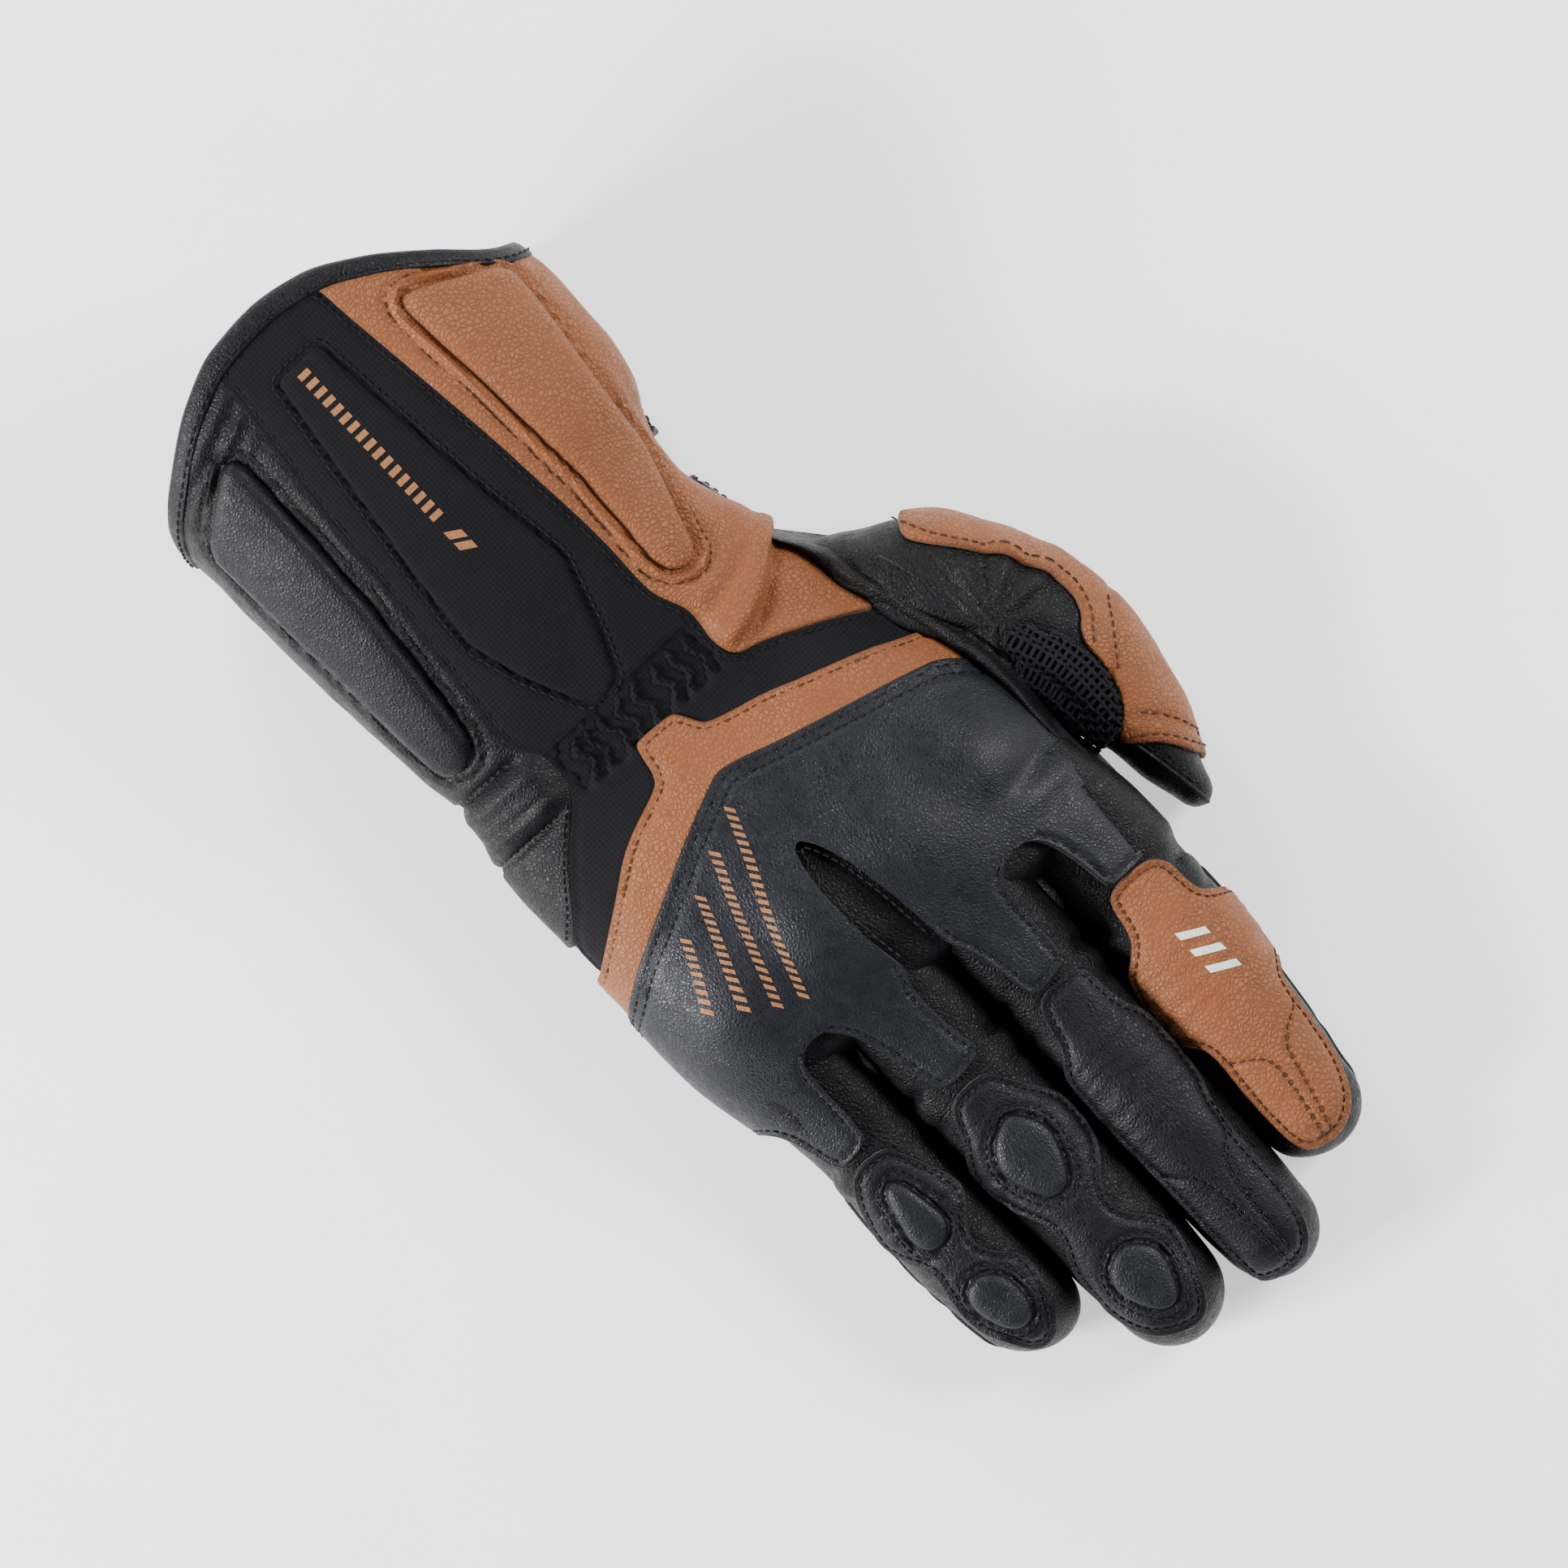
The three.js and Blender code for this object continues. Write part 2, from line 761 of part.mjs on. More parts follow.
const thumbClear = trunkSolid(OVERLAY[1] + 0.6);
const thumbShell = thumbSolid(0).subtract(thumbCavity).subtract(thumbClear);
const thumbOverlay = thumbSolid(OVERLAY[1], OVERLAY[1])
  .subtract(thumbSolid(OVERLAY[0], OVERLAY[0]))
  .subtract(thumbClear);
const beforeJoint = slab(-200, THUMB_JOINT_X - GAP / 2);
const afterJoint = slab(THUMB_JOINT_X + GAP / 2, 200);
const meshOutline = [
  [-8, 72],
  [2, 78.5],
  [12, 80.5],
  [21, 80],
  [21, 60],
  [-8, 60],
];
const meshRegion = prism(meshOutline, SPLIT_Z + 8, 100);
const meshClear = prism(
  meshOutline.map(([x, y]) => [x + GAP * Math.sign(x - 7), y + GAP * Math.sign(y - 68)]),
  SPLIT_Z + 8 - GAP,
  100,
);
const thumbBase = thumbShell
  .intersect(beforeJoint)
  .subtract(flexNotch(THUMB_JOINT_X, THUMB_JOINT_Z, THUMB_TIP_BEND, -1));
const thumbOverlayOutline = [
  [-44, 66],
  [-35, 70],
  [-20, 82],
  [-3, 88],
  [5, 83],
  [25, 82],
  [29, 76],
  [36, 80],
  [44, 83],
  [44, far + 10],
  [-44, far + 10],
];
const thumbOuter = thumbOverlay.intersect(prism(thumbOverlayOutline, THUMB_JOINT_Z + 1, 100));

const thumbBack = thumbBase.intersect(slab(-200, 200, SPLIT_Z + GAP / 2));
add("thumb_base_back", thumbBack.subtract(meshClear), blackLeather);
add(
  "thumb_base_palm",
  thumbBase.intersect(slab(-200, 200, -10, SPLIT_Z - GAP / 2)),
  blackLeather,
);
add("thumb_mesh_insert", thumbBack.intersect(meshRegion), meshFabric);
add(
  "thumb_tip",
  thumbShell
    .intersect(afterJoint)
    .subtract(flexNotch(THUMB_JOINT_X, THUMB_JOINT_Z, THUMB_TIP_BEND, 1)),
  blackLeather,
);
add("thumb_base_overlay", thumbOuter.intersect(beforeJoint), tanLeather);
add("thumb_tip_overlay", thumbOuter.intersect(afterJoint), tanLeather);

export default glove;
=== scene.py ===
"""A long-cuff riding glove, lying palm down: its looks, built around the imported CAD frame.

Lengths are millimetres in the row frame (+X to the fingertips, +Y to the thumb, +Z up) until a mesh
is made, which turns them into metres. Every part lies on a Skin, a tube surface with rows across it
and columns round it. A Panel is a closed sheet cut to an outline on a skin.
"""

import math

import bpy
import numpy as np
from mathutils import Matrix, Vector, noise
from mathutils.geometry import delaunay_2d_cdt


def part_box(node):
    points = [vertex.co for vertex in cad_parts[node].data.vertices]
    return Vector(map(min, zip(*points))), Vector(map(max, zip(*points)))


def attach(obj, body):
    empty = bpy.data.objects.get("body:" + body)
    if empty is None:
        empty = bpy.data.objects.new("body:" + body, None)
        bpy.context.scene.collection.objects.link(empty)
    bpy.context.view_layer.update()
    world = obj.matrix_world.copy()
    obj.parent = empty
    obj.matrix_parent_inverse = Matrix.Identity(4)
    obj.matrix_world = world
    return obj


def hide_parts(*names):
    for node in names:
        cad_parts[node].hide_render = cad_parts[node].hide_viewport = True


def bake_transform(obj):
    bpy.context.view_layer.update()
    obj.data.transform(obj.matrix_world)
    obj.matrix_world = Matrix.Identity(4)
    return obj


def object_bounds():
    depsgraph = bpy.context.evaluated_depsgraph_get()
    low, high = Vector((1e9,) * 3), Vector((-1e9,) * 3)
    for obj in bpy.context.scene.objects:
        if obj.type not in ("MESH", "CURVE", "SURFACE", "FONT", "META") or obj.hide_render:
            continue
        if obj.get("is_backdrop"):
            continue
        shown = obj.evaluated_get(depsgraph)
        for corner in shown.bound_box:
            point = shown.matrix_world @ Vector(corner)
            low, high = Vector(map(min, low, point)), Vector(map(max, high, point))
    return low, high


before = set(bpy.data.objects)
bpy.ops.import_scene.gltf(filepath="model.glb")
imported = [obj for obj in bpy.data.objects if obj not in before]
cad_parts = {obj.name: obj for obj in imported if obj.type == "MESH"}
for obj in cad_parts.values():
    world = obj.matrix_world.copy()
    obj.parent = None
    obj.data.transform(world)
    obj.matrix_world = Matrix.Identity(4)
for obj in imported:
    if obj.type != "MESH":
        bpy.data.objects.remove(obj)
cad_low, cad_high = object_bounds()
MM = 0.001


# ---- Curves and distances ----


def smooth(t):
    """From 0 to 1 as t goes from 0 to 1, level at both ends."""
    t = np.clip(t, 0, 1)
    return t * t * (3 - 2 * t)


def hump(x, width):
    """A rounded peak of height 1 where x is 0."""
    return np.exp(-((x / width) ** 2))


def unit(vectors):
    """Each vector at length 1."""
    return vectors / (np.linalg.norm(vectors, axis=-1, keepdims=True) + 1e-12)


def lengths(line):
    """How far along a line each of its points is."""
    return np.concatenate([[0], np.cumsum(np.linalg.norm(np.diff(line, axis=0), axis=1))])


def table(rows, at):
    """A smooth curve without overshoot through rows of (x, values...), read at the places in at."""
    rows = np.array(rows, float)
    x, y = rows[:, 0], rows[:, 1:]
    slope = np.diff(y, axis=0) / np.diff(x)[:, None]
    before, after = slope[:-1], slope[1:]
    same_way = before * after > 0
    inner = np.where(same_way, 2 * before * after / np.where(same_way, before + after, 1), 0)
    tangent = np.vstack([slope[:1], inner, slope[-1:]])
    at = np.clip(np.atleast_1d(np.asarray(at, float)), x[0], x[-1])
    k = np.clip(np.searchsorted(x, at) - 1, 0, len(x) - 2)
    w = (x[k + 1] - x[k])[:, None]
    t = (at - x[k])[:, None] / w
    return ((1 + 2 * t) * (1 - t) ** 2 * y[k] + t * (1 - t) ** 2 * w * tangent[k]
            + t**2 * (3 - 2 * t) * y[k + 1] + t**2 * (t - 1) * w * tangent[k + 1])


def resample(points, step, closed=False):
    """Evenly spaced points along a line."""
    points = np.array(points, float)
    if closed:
        points = np.vstack([points, points[:1]])
    run = lengths(points)
    at = np.linspace(0, run[-1], max(2, int(round(run[-1] / step)) + 1))
    out = np.column_stack([np.interp(at, run, values) for values in points.T])
    return out[:-1] if closed else out


def rounded(points, closed=True, times=2):
    """The line with each corner cut off a few times, which rounds it."""
    points = np.array(points, float)
    for _ in range(times):
        after = np.roll(points, -1, axis=0) if closed else points[1:]
        before = points if closed else points[:-1]
        cut = np.empty((2 * len(before), points.shape[1]))
        cut[0::2] = 0.75 * before + 0.25 * after
        cut[1::2] = 0.25 * before + 0.75 * after
        points = cut if closed else np.vstack([points[:1], cut, points[-1:]])
    return points


def distance(points, line, closed=False):
    """How far each point is from a line."""
    line = np.array(line, float)
    a = line if closed else line[:-1]
    b = np.roll(line, -1, axis=0) if closed else line[1:]
    ab = b - a
    size = (ab**2).sum(1) + 1e-12
    out = np.empty(len(points))
    for start in range(0, len(points), 4000):
        p = points[start : start + 4000, None, :]
        t = np.clip(((p - a) * ab).sum(2) / size, 0, 1)
        out[start : start + 4000] = np.sqrt((((p - a) - t[..., None] * ab) ** 2).sum(2).min(1))
    return out


def inside(points, outline):
    """Which of the points lie inside the outline."""
    x, y = points[:, 0], points[:, 1]
    result = np.zeros(len(points), bool)
    for (ax, ay), (bx, by) in zip(outline, np.roll(outline, -1, axis=0)):
        crosses = (ay > y) != (by > y)
        if crosses.any():
            at = ax + (y - ay) / (by - ay if by != ay else 1e-12) * (bx - ax)
            result ^= crosses & (x < at)
    return result


def parallel(line, by, closed=True):
    """The line moved sideways, to its left for a positive distance, without the loops at its corners."""
    line = np.array(line, float)
    if closed:
        along = np.roll(line, -1, axis=0) - np.roll(line, 1, axis=0)
    else:
        along = np.gradient(line, axis=0)
    along = unit(along)
    moved = line + by * np.column_stack([-along[:, 1], along[:, 0]])
    return moved[distance(moved, line, closed) > abs(by) * 0.97]


def anticlockwise(outline):
    """The outline, turned round if it runs clockwise."""
    x, y = outline[:, 0], outline[:, 1]
    area = (x * np.roll(y, -1) - np.roll(x, -1) * y).sum()
    return outline if area > 0 else outline[::-1]


def around(line, by):
    """The closed line moved outwards."""
    return parallel(anticlockwise(np.array(line)), -by)


def lumps(points, scale, octaves=2, seed=0.0):
    """Smooth noise of about -1 to 1, with lumps of the given size. points: in space, or places on a skin."""
    if points.shape[1] == 2:
        points = np.column_stack([points, np.zeros(len(points))])
    shift = Vector((seed * 17.3, seed * 5.1, seed * 9.7))
    size = np.broadcast_to(np.array(scale, float), (3,))
    return np.array([noise.fractal(Vector(p / size) + shift, 1.0, 2.0, octaves) for p in points])


# ---- Skins ----


class Skin:
    """A tube. A place on it is (row, round): the row's own number, and mm round from its top, + to +Y."""

    COLUMNS = 240
    TURNS = 1440

    def __init__(self, numbers, centres, across, half, low, high, squareness):
        """Per row: its number, centre in plan, sideways direction, half width, heights, exponents."""
        self.numbers = np.array(numbers, float)
        angle = np.linspace(-np.pi, np.pi, self.TURNS + 1)
        side, up = np.sin(angle), np.cos(angle)
        top, under = squareness
        shape = []
        self.reach = np.zeros(len(numbers))
        fractions = np.linspace(-1, 1, self.COLUMNS + 1)
        lateral = np.zeros((len(numbers), self.COLUMNS + 1))
        for i in range(len(numbers)):
            a, b = half[i], (high[i] - low[i]) / 2
            n = np.where(up > 0, top[i], under[i])
            r = (np.abs(side / a) ** n + np.abs(up / b) ** n) ** (-1 / n)
            y, z = r * side, r * up
            run = lengths(np.column_stack([y, z]))
            run -= run[self.TURNS // 2]
            self.reach[i] = run[-1]
            y = np.interp(fractions * run[-1], run, y)
            z = np.interp(fractions * run[-1], run, z) + (low[i] + high[i]) / 2
            lateral[i] = y
            shape.append(np.column_stack([centres[i] + across[i] * y[:, None], z]))
        self.lateral, self.half = lateral, np.array(half, float)
        self.centres, self.across = np.array(centres, float), np.array(across, float)
        self.points = np.array(shape)
        self.finish()

    def finish(self):
        """Works the normals out again from the points."""
        p = self.points
        along = np.gradient(p, axis=0)
        wrapped = np.concatenate([p[:, -2:-1], p, p[:, 1:2]], axis=1)
        n = np.cross(along, wrapped[:, 2:] - wrapped[:, :-2])
        n[0], n[-1] = n[1], n[-2]
        self.normals = unit(n)

    def push(self, amount):
        """Moves the surface out by amount(row numbers, rounds, points), a depth for each point."""
        rounds = np.linspace(-1, 1, self.COLUMNS + 1)[None, :] * self.reach[:, None]
        rows = np.broadcast_to(self.numbers[:, None], rounds.shape)
        depth = amount(rows.ravel(), rounds.ravel(), self.points.reshape(-1, 3))
        self.points = self.points + self.normals * depth.reshape(rounds.shape)[..., None]
        self.finish()

    def _blend(self, grid, places):
        row = np.interp(places[:, 0], self.numbers, np.arange(len(self.numbers)))
        reach = np.interp(places[:, 0], self.numbers, self.reach)
        column = ((places[:, 1] / reach + 1) % 2) / 2 * self.COLUMNS
        i = np.clip(row.astype(int), 0, len(self.numbers) - 2)
        j = np.clip(column.astype(int), 0, self.COLUMNS - 1)
        s, t = (row - i)[:, None], (column - j)[:, None]
        return (grid[i, j] * (1 - s) * (1 - t) + grid[i + 1, j] * s * (1 - t)
                + grid[i, j + 1] * (1 - s) * t + grid[i + 1, j + 1] * s * t)

    def at(self, places, lift=0.0):
        """Points at places on the skin, or lift mm over it."""
        places = np.atleast_2d(places)
        out = unit(self._blend(self.normals, places))
        return self._blend(self.points, places) + out * np.broadcast_to(lift, len(places))[:, None]

    def shared(self, rows, shares):
        """The places at rows and at shares of the way round from the top, from -1 to 1."""
        return np.column_stack([rows, shares * np.interp(rows, self.numbers, self.reach)])

    def places(self, plan):
        """The places on top of the skin under points seen from above. Past its side they run on down it."""
        plan = np.atleast_2d(np.array(plan, float))
        row, sideways = self.from_plan(plan)
        at = np.interp(row, self.numbers, np.arange(len(self.numbers)))
        i = np.clip(at.astype(int), 0, len(self.numbers) - 2)
        s = at - i
        rounds = np.linspace(-1, 1, self.COLUMNS + 1)
        out = np.zeros((len(plan), 2))
        for k in range(len(plan)):
            lateral = self.lateral[i[k]] * (1 - s[k]) + self.lateral[i[k] + 1] * s[k]
            reach = self.reach[i[k]] * (1 - s[k]) + self.reach[i[k] + 1] * s[k]
            top = slice(int(np.argmin(lateral)), int(np.argmax(lateral)) + 1)
            y = sideways[k]
            within = np.clip(y, lateral[top][0], lateral[top][-1])
            out[k] = row[k], np.interp(within, lateral[top], rounds[top]) * reach + (y - within)
        return out

    def underside(self, plan):
        """How high the skin's underside is over points in plan."""
        plan = np.atleast_2d(np.array(plan, float))
        out = np.zeros(len(plan))
        for k, (x, y) in enumerate(plan):
            row = self.points[int(np.argmin(np.abs(self.numbers - x)))]
            low = row[row[:, 2] < (row[:, 2].min() + row[:, 2].max()) / 2]
            order = np.argsort(low[:, 1])
            out[k] = np.interp(y, low[order, 1], low[order, 2])
        return out

    def from_plan(self, plan):
        row = plan[:, 0]
        return row, plan[:, 1] - np.interp(row, self.numbers, self.centres[:, 1])

    def trace(self, plan, closed=True, times=2):
        """A line drawn in plan, with its corners rounded, as places on the skin."""
        return self.places(resample(rounded(plan, closed, times), 1.0, closed))


def tube_skin(low, high, under, top, dome=0.0, squareness=((0, 2.4), (200, 2.4))):
    """A skin whose rows are planes of constant x. low, high, under and top: (x, y or z) of its sides.

    dome: the length over which its end closes."""
    first, last = low[0][0], low[-1][0]
    x = np.arange(first, last - dome, 1.0)
    if dome:
        x = np.concatenate([x, last - dome + dome * np.sin(np.linspace(0, np.pi / 2 * 0.97, 22))])
    y0, y1, z0, z1 = (table(rows, x)[:, 0] for rows in (low, high, under, top))
    t = np.clip((x - (last - dome)) / dome, 0, 1) if dome else np.zeros(len(x))
    share = np.sqrt(np.clip(1 - t**2.2, 0, 1))
    middle = z0 + (z1 - z0) * 0.42
    return Skin(x, np.column_stack([x, (y0 + y1) / 2]), np.tile([0.0, 1.0], (len(x), 1)),
                (y1 - y0) / 2 * share, middle + (z0 - middle) * share, middle + (z1 - middle) * share,
                (table(squareness, x)[:, 0], np.full(len(x), 3.2)))


class ThumbSkin(Skin):
    """A skin whose rows are square to a bent centre line. A row's number is its distance along the line."""

    TIP = 6
    SQUARENESS = (2.3, 2.8)

    def __init__(self, stations):
        stations = np.array(stations, float)
        run = lengths(stations[:, :2])
        towards_tip = run[-1] - self.TIP * np.cos(np.linspace(0.05, np.pi / 2, 14))
        u = np.unique(np.concatenate([np.arange(0, run[-1] - self.TIP, 1.0), towards_tip]))
        values = table(np.column_stack([run, stations]), u)
        centres = values[:, :2]
        along = unit(np.gradient(centres, axis=0) / np.gradient(u)[:, None])
        across = np.column_stack([-along[:, 1], along[:, 0]])
        super().__init__(u, centres, across, *values[:, 2:].T, [np.full(len(u), n) for n in self.SQUARENESS])

    def from_plan(self, plan):
        rows, sideways = np.zeros(len(plan)), np.zeros(len(plan))
        fine = np.linspace(self.numbers[0], self.numbers[-1], 900)
        line = np.column_stack([np.interp(fine, self.numbers, self.centres[:, i]) for i in (0, 1)])
        across = np.column_stack([np.interp(fine, self.numbers, self.across[:, i]) for i in (0, 1)])
        for k, p in enumerate(plan):
            j = int(np.argmin(((line - p) ** 2).sum(1)))
            rows[k], sideways[k] = fine[j], (p - line[j]) @ across[j]
        return rows, sideways


class Flat:
    """A level face looking down at height z. A place is (x, y)."""

    def __init__(self, z):
        self.z = z

    def at(self, places, lift=0.0):
        places = np.atleast_2d(places)
        z = self.z - np.broadcast_to(lift, len(places))
        return np.column_stack([places, z])


# ---- Meshes ----


def make_object(name, points, faces, materials, face_material=None, smooth_angle=50):
    """A mesh object from points in mm, with its faces turned outward."""
    points = np.asarray(points, float) * MM
    first = points[[f[0] for f in faces]]
    volume = 0.0
    for k in range(1, max(len(f) for f in faces) - 1):
        b = points[[f[min(k, len(f) - 1)] for f in faces]]
        c = points[[f[min(k + 1, len(f) - 1)] for f in faces]]
        volume += np.einsum("ij,ij->i", first, np.cross(b, c)).sum()
    if volume < 0:
        faces = [tuple(reversed(f)) for f in faces]
    mesh = bpy.data.meshes.new(name)
    mesh.from_pydata([tuple(v) for v in points], [], [tuple(map(int, f)) for f in faces])
    for material in materials if isinstance(materials, (list, tuple)) else [materials]:
        mesh.materials.append(material)
    mesh.polygons.foreach_set("use_smooth", [True] * len(mesh.polygons))
    if face_material is not None:
        mesh.polygons.foreach_set("material_index", face_material)
    mesh.update()
    mesh.set_sharp_from_angle(angle=math.radians(smooth_angle))
    piece = bpy.data.objects.new(name, mesh)
    bpy.context.scene.collection.objects.link(piece)
    return piece


# Where the distance from a sheet's edge stops being counted.
FAR_FROM_EDGE = 20.0


def mark_seam(piece, from_edge):
    """Notes each point's distance from its sheet's edge, from which the material paints shade along the
    seams.
    """
    seam = piece.data.attributes.new("seam", "FLOAT", "POINT")
    seam.data.foreach_set("value", np.asarray(from_edge, np.float32))


def tube_faces(rings, sides, start=0, closed=False):
    """The faces between rings of points, which all have the same number of sides."""
    faces = []
    for i in range(rings if closed else rings - 1):
        here, there = start + i * sides, start + (i + 1) % rings * sides
        for j in range(sides):
            k = (j + 1) % sides
            faces.append((here + j, here + k, there + k, there + j))
    return faces


def lofted(name, rings, material, closed=False, smooth_angle=50):
    """A tube through rings of points. It runs back into its start, or closes to a point at each end."""
    rings = np.array(rings)
    count, sides = rings.shape[:2]
    points, faces = rings.reshape(-1, 3), tube_faces(count, sides, 0, closed)
    if not closed:
        points = np.vstack([points, rings[0].mean(0), rings[-1].mean(0)])
        last = (count - 1) * sides
        for j in range(sides):
            k = (j + 1) % sides
            faces += [(k, j, count * sides), (last + j, last + k, count * sides + 1)]
    return make_object(name, points, faces, material, None, smooth_angle)


def tube_piece(name, skin, first, last, material, columns=96):
    """A closed length of a skin."""
    numbers = skin.numbers[(skin.numbers > first + 0.2) & (skin.numbers < last - 0.2)]
    shares = np.linspace(-1, 1, columns, endpoint=False)
    rings = [skin.at(skin.shared(np.full(columns, row), shares)) for row in (first, *numbers, last)]
    return lofted(name, rings, material, smooth_angle=60)


def sweep(name, path, radii, material, sides=8):
    """A round tube along a path, with one radius or one for each of its points."""
    along = unit(np.gradient(path, axis=0))
    side = unit(np.cross(along, (0.0, 0.0, 1.0)))
    over = np.cross(side, along)
    turns = np.linspace(0, 2 * np.pi, sides, endpoint=False)[:, None]
    radii = np.broadcast_to(radii, len(path))[:, None, None]
    rings = path[:, None] + radii * (np.cos(turns) * side[:, None] + np.sin(turns) * over[:, None])
    return lofted(name, rings, material)


def shell(name, skin, first, last, outer, inner, material, columns=240, step=1.4):
    """A hollow length of a skin. first and last give each column's ends from its share round it.

    outer and inner give the lift of the two faces at places."""
    shares = np.linspace(-1, 1, columns, endpoint=False)
    starts, ends = first(shares), last(shares)
    count = int((ends.max() - starts.min()) / step)
    rows = starts + (ends - starts) * np.linspace(0, 1, count)[:, None]
    places = skin.shared(rows.ravel(), np.tile(shares, count))
    n, end = count * columns, (count - 1) * columns
    faces = []
    for a, b, c, d in tube_faces(count, columns):
        faces += [(a, d, c, b), (a + n, b + n, c + n, d + n)]
    for j in range(columns):
        k = (j + 1) % columns
        faces += [(j, k, k + n, j + n), (end + k, end + j, end + j + n, end + k + n)]
    points = np.vstack([skin.at(places, outer(places)), skin.at(places, inner(places))])
    piece = make_object(name, points, faces, material)
    mark_seam(piece, np.full(2 * n, 9.0))
    return piece


class Panel:
    """A closed sheet on a skin, cut to an outline of places. height() is its top face over the skin."""

    # Where rows of points run along its rounded edge, and how near the grid's rows lie, as shares.
    EDGE_RINGS = (0.18, 0.45, 1.0)
    ROW_STEP = 0.87
    # How deep and how wide a row of stitches pulls it in.
    PULL, PULL_WIDTH = 0.65, 0.7

    def __init__(self, name, skin, outline, materials, bottom=0.0, thick=1.2, round_edge=None,
                 spacing=1.3, relief=None, grooves=(), edge_share=0.45, edge=None, sewn=(), under=None):
        """edge is the part of the outline that is rounded, all of it where none is given.

        relief: more lift, from places, their distance from the edge and the skin.
        grooves: (line, closed, width, depth) of each.
        sewn: how far from the edge the rows of stitches pull the sheet in.
        under: the lift of the underside at places, where it isn't bottom everywhere."""
        self.skin, self.bottom, self.thick = skin, bottom, thick
        self.outline = anticlockwise(np.array(outline, float))
        self.edge = (self.outline, True) if edge is None else (np.array(edge, float), False)
        self.round_edge = thick * 0.8 if round_edge is None else round_edge
        self.relief, self.grooves, self.edge_share, self.sewn = relief, grooves, edge_share, sewn
        insets = [parallel(self.outline, self.round_edge * share) for share in self.EDGE_RINGS]
        low, high = self.outline.min(0), self.outline.max(0)
        grid_x, grid_y = np.meshgrid(
            np.arange(low[0], high[0], spacing), np.arange(low[1], high[1], spacing * self.ROW_STEP))
        grid_x[1::2] += spacing / 2
        grid = np.column_stack([grid_x.ravel(), grid_y.ravel()])
        grid = grid[inside(grid, self.outline)]
        grid = grid[distance(grid, self.outline, True) > self.round_edge + spacing * 0.45]
        places = np.vstack([self.outline, *(ring for ring in insets if len(ring)), grid])
        n = len(self.outline)
        edges = [(i, (i + 1) % n) for i in range(n)]
        found = delaunay_2d_cdt([Vector(p) for p in places], edges, [], 1, 1e-4)
        places = np.array([tuple(v) for v in found[0]])
        triangles = np.array([f for f in found[2] if len(f) == 3])
        count = self.count = len(places)
        from_edge = distance(places, *self.edge)
        top = skin.at(places, self.height(places, from_edge))
        low_face = skin.at(places, np.full(count, bottom) if under is None else under(places))
        sides = self._rim(triangles)
        faces = [tuple(t) for t in triangles] + [tuple(t[::-1] + count) for t in triangles]
        faces += [(b, a, a + count, b + count) for a, b in sides]
        cut = 1 if isinstance(materials, list) else 0
        marks = [0] * (2 * len(triangles)) + [cut] * len(sides)
        self.obj = make_object(name, np.vstack([top, low_face]), faces, materials, marks)
        mark_seam(self.obj, np.tile(np.minimum(from_edge, FAR_FROM_EDGE), 2))

    @staticmethod
    def _rim(triangles):
        """The directed edges that only one triangle has."""
        ends = np.vstack([triangles[:, [0, 1]], triangles[:, [1, 2]], triangles[:, [2, 0]]])
        have = set(map(tuple, ends.tolist()))
        return [(a, b) for a, b in have if (b, a) not in have]

    def height(self, places, from_edge=None):
        """The lift of the sheet's top face at places."""
        places = np.atleast_2d(places)
        if from_edge is None:
            from_edge = distance(places, *self.edge)
        t = np.clip(from_edge / self.round_edge, 0, 1)
        share = self.edge_share + (1 - self.edge_share) * np.sqrt(np.clip(1 - (1 - t) ** 2, 0, 1))
        lift = self.bottom + self.thick * share
        if self.relief is not None:
            lift = lift + self.relief(places, from_edge, self.skin)
        for row in self.sewn:
            lift = lift - self.PULL * hump(from_edge - row, self.PULL_WIDTH)
        for line, closed, width, depth in self.grooves:
            lift = lift - depth * hump(distance(places, line, closed), width)
        return lift


class Strands:
    """The points and faces of many short closed strands of thread, kept together as one mesh."""

    SIDES = 6

    def __init__(self):
        self.points, self.faces = [], []

    def add(self, core, side, over):
        """A strand along core. side and over: its half width and half height at each point."""
        turns = np.linspace(0, 2 * np.pi, self.SIDES, endpoint=False)[:, None]
        rings = core[:, None] + np.cos(turns) * side[:, None] + np.sin(turns) * over[:, None]
        start = len(self.points)
        last = start + (len(core) - 1) * self.SIDES
        self.points += [*rings.reshape(-1, 3)]
        self.faces += tube_faces(len(core), self.SIDES, start)
        self.faces += [tuple(range(start, start + self.SIDES))[::-1], tuple(range(last, last + self.SIDES))]


# Kinds of stitch: the pitch, length, radius and how proud of the face it lies.
FINE = (2.2, 1.6, 0.25, 0.25)
HEAVY = (2.7, 2.0, 0.3, 0.25)
LEVEL = (2.2, 1.6, 0.25, 0.0)
SMALL = (2.1, 1.5, 0.24, 0.3)
# At five points along a stitch: how far along, how wide, and how it dips into the hide.
STITCH_ALONG = np.array([-0.5, -0.38, 0.0, 0.38, 0.5])
STITCH_WIDTH = np.array([0.25, 0.85, 1.0, 0.85, 0.25])[:, None]
STITCH_DIP = np.array([-0.35, -0.05, 0.1, -0.05, -0.35])


def stitch_row(strands, panel, line, closed=False, kind=FINE):
    """A row of stitches, each a short capsule lying in the panel's face."""
    pitch, length, radius, proud = kind
    path = np.vstack([line, line[:1]]) if closed else line
    run = lengths(path)
    count = max(1, int(run[-1] / pitch))
    for k in range(count):
        at = (k + 0.5) * run[-1] / count + STITCH_ALONG * length
        places = np.column_stack([np.interp(at, run, values) for values in path.T])
        lift = panel.height(places) + proud + STITCH_DIP * radius * 2
        core = panel.skin.at(places, lift)
        along = unit(core[-1] - core[0])
        side = unit(np.cross(along, panel.skin.at(places[2:3], lift[2] + 1)[0] - core[2]))
        strands.add(core, radius * STITCH_WIDTH * side, radius * STITCH_WIDTH * np.cross(side, along))


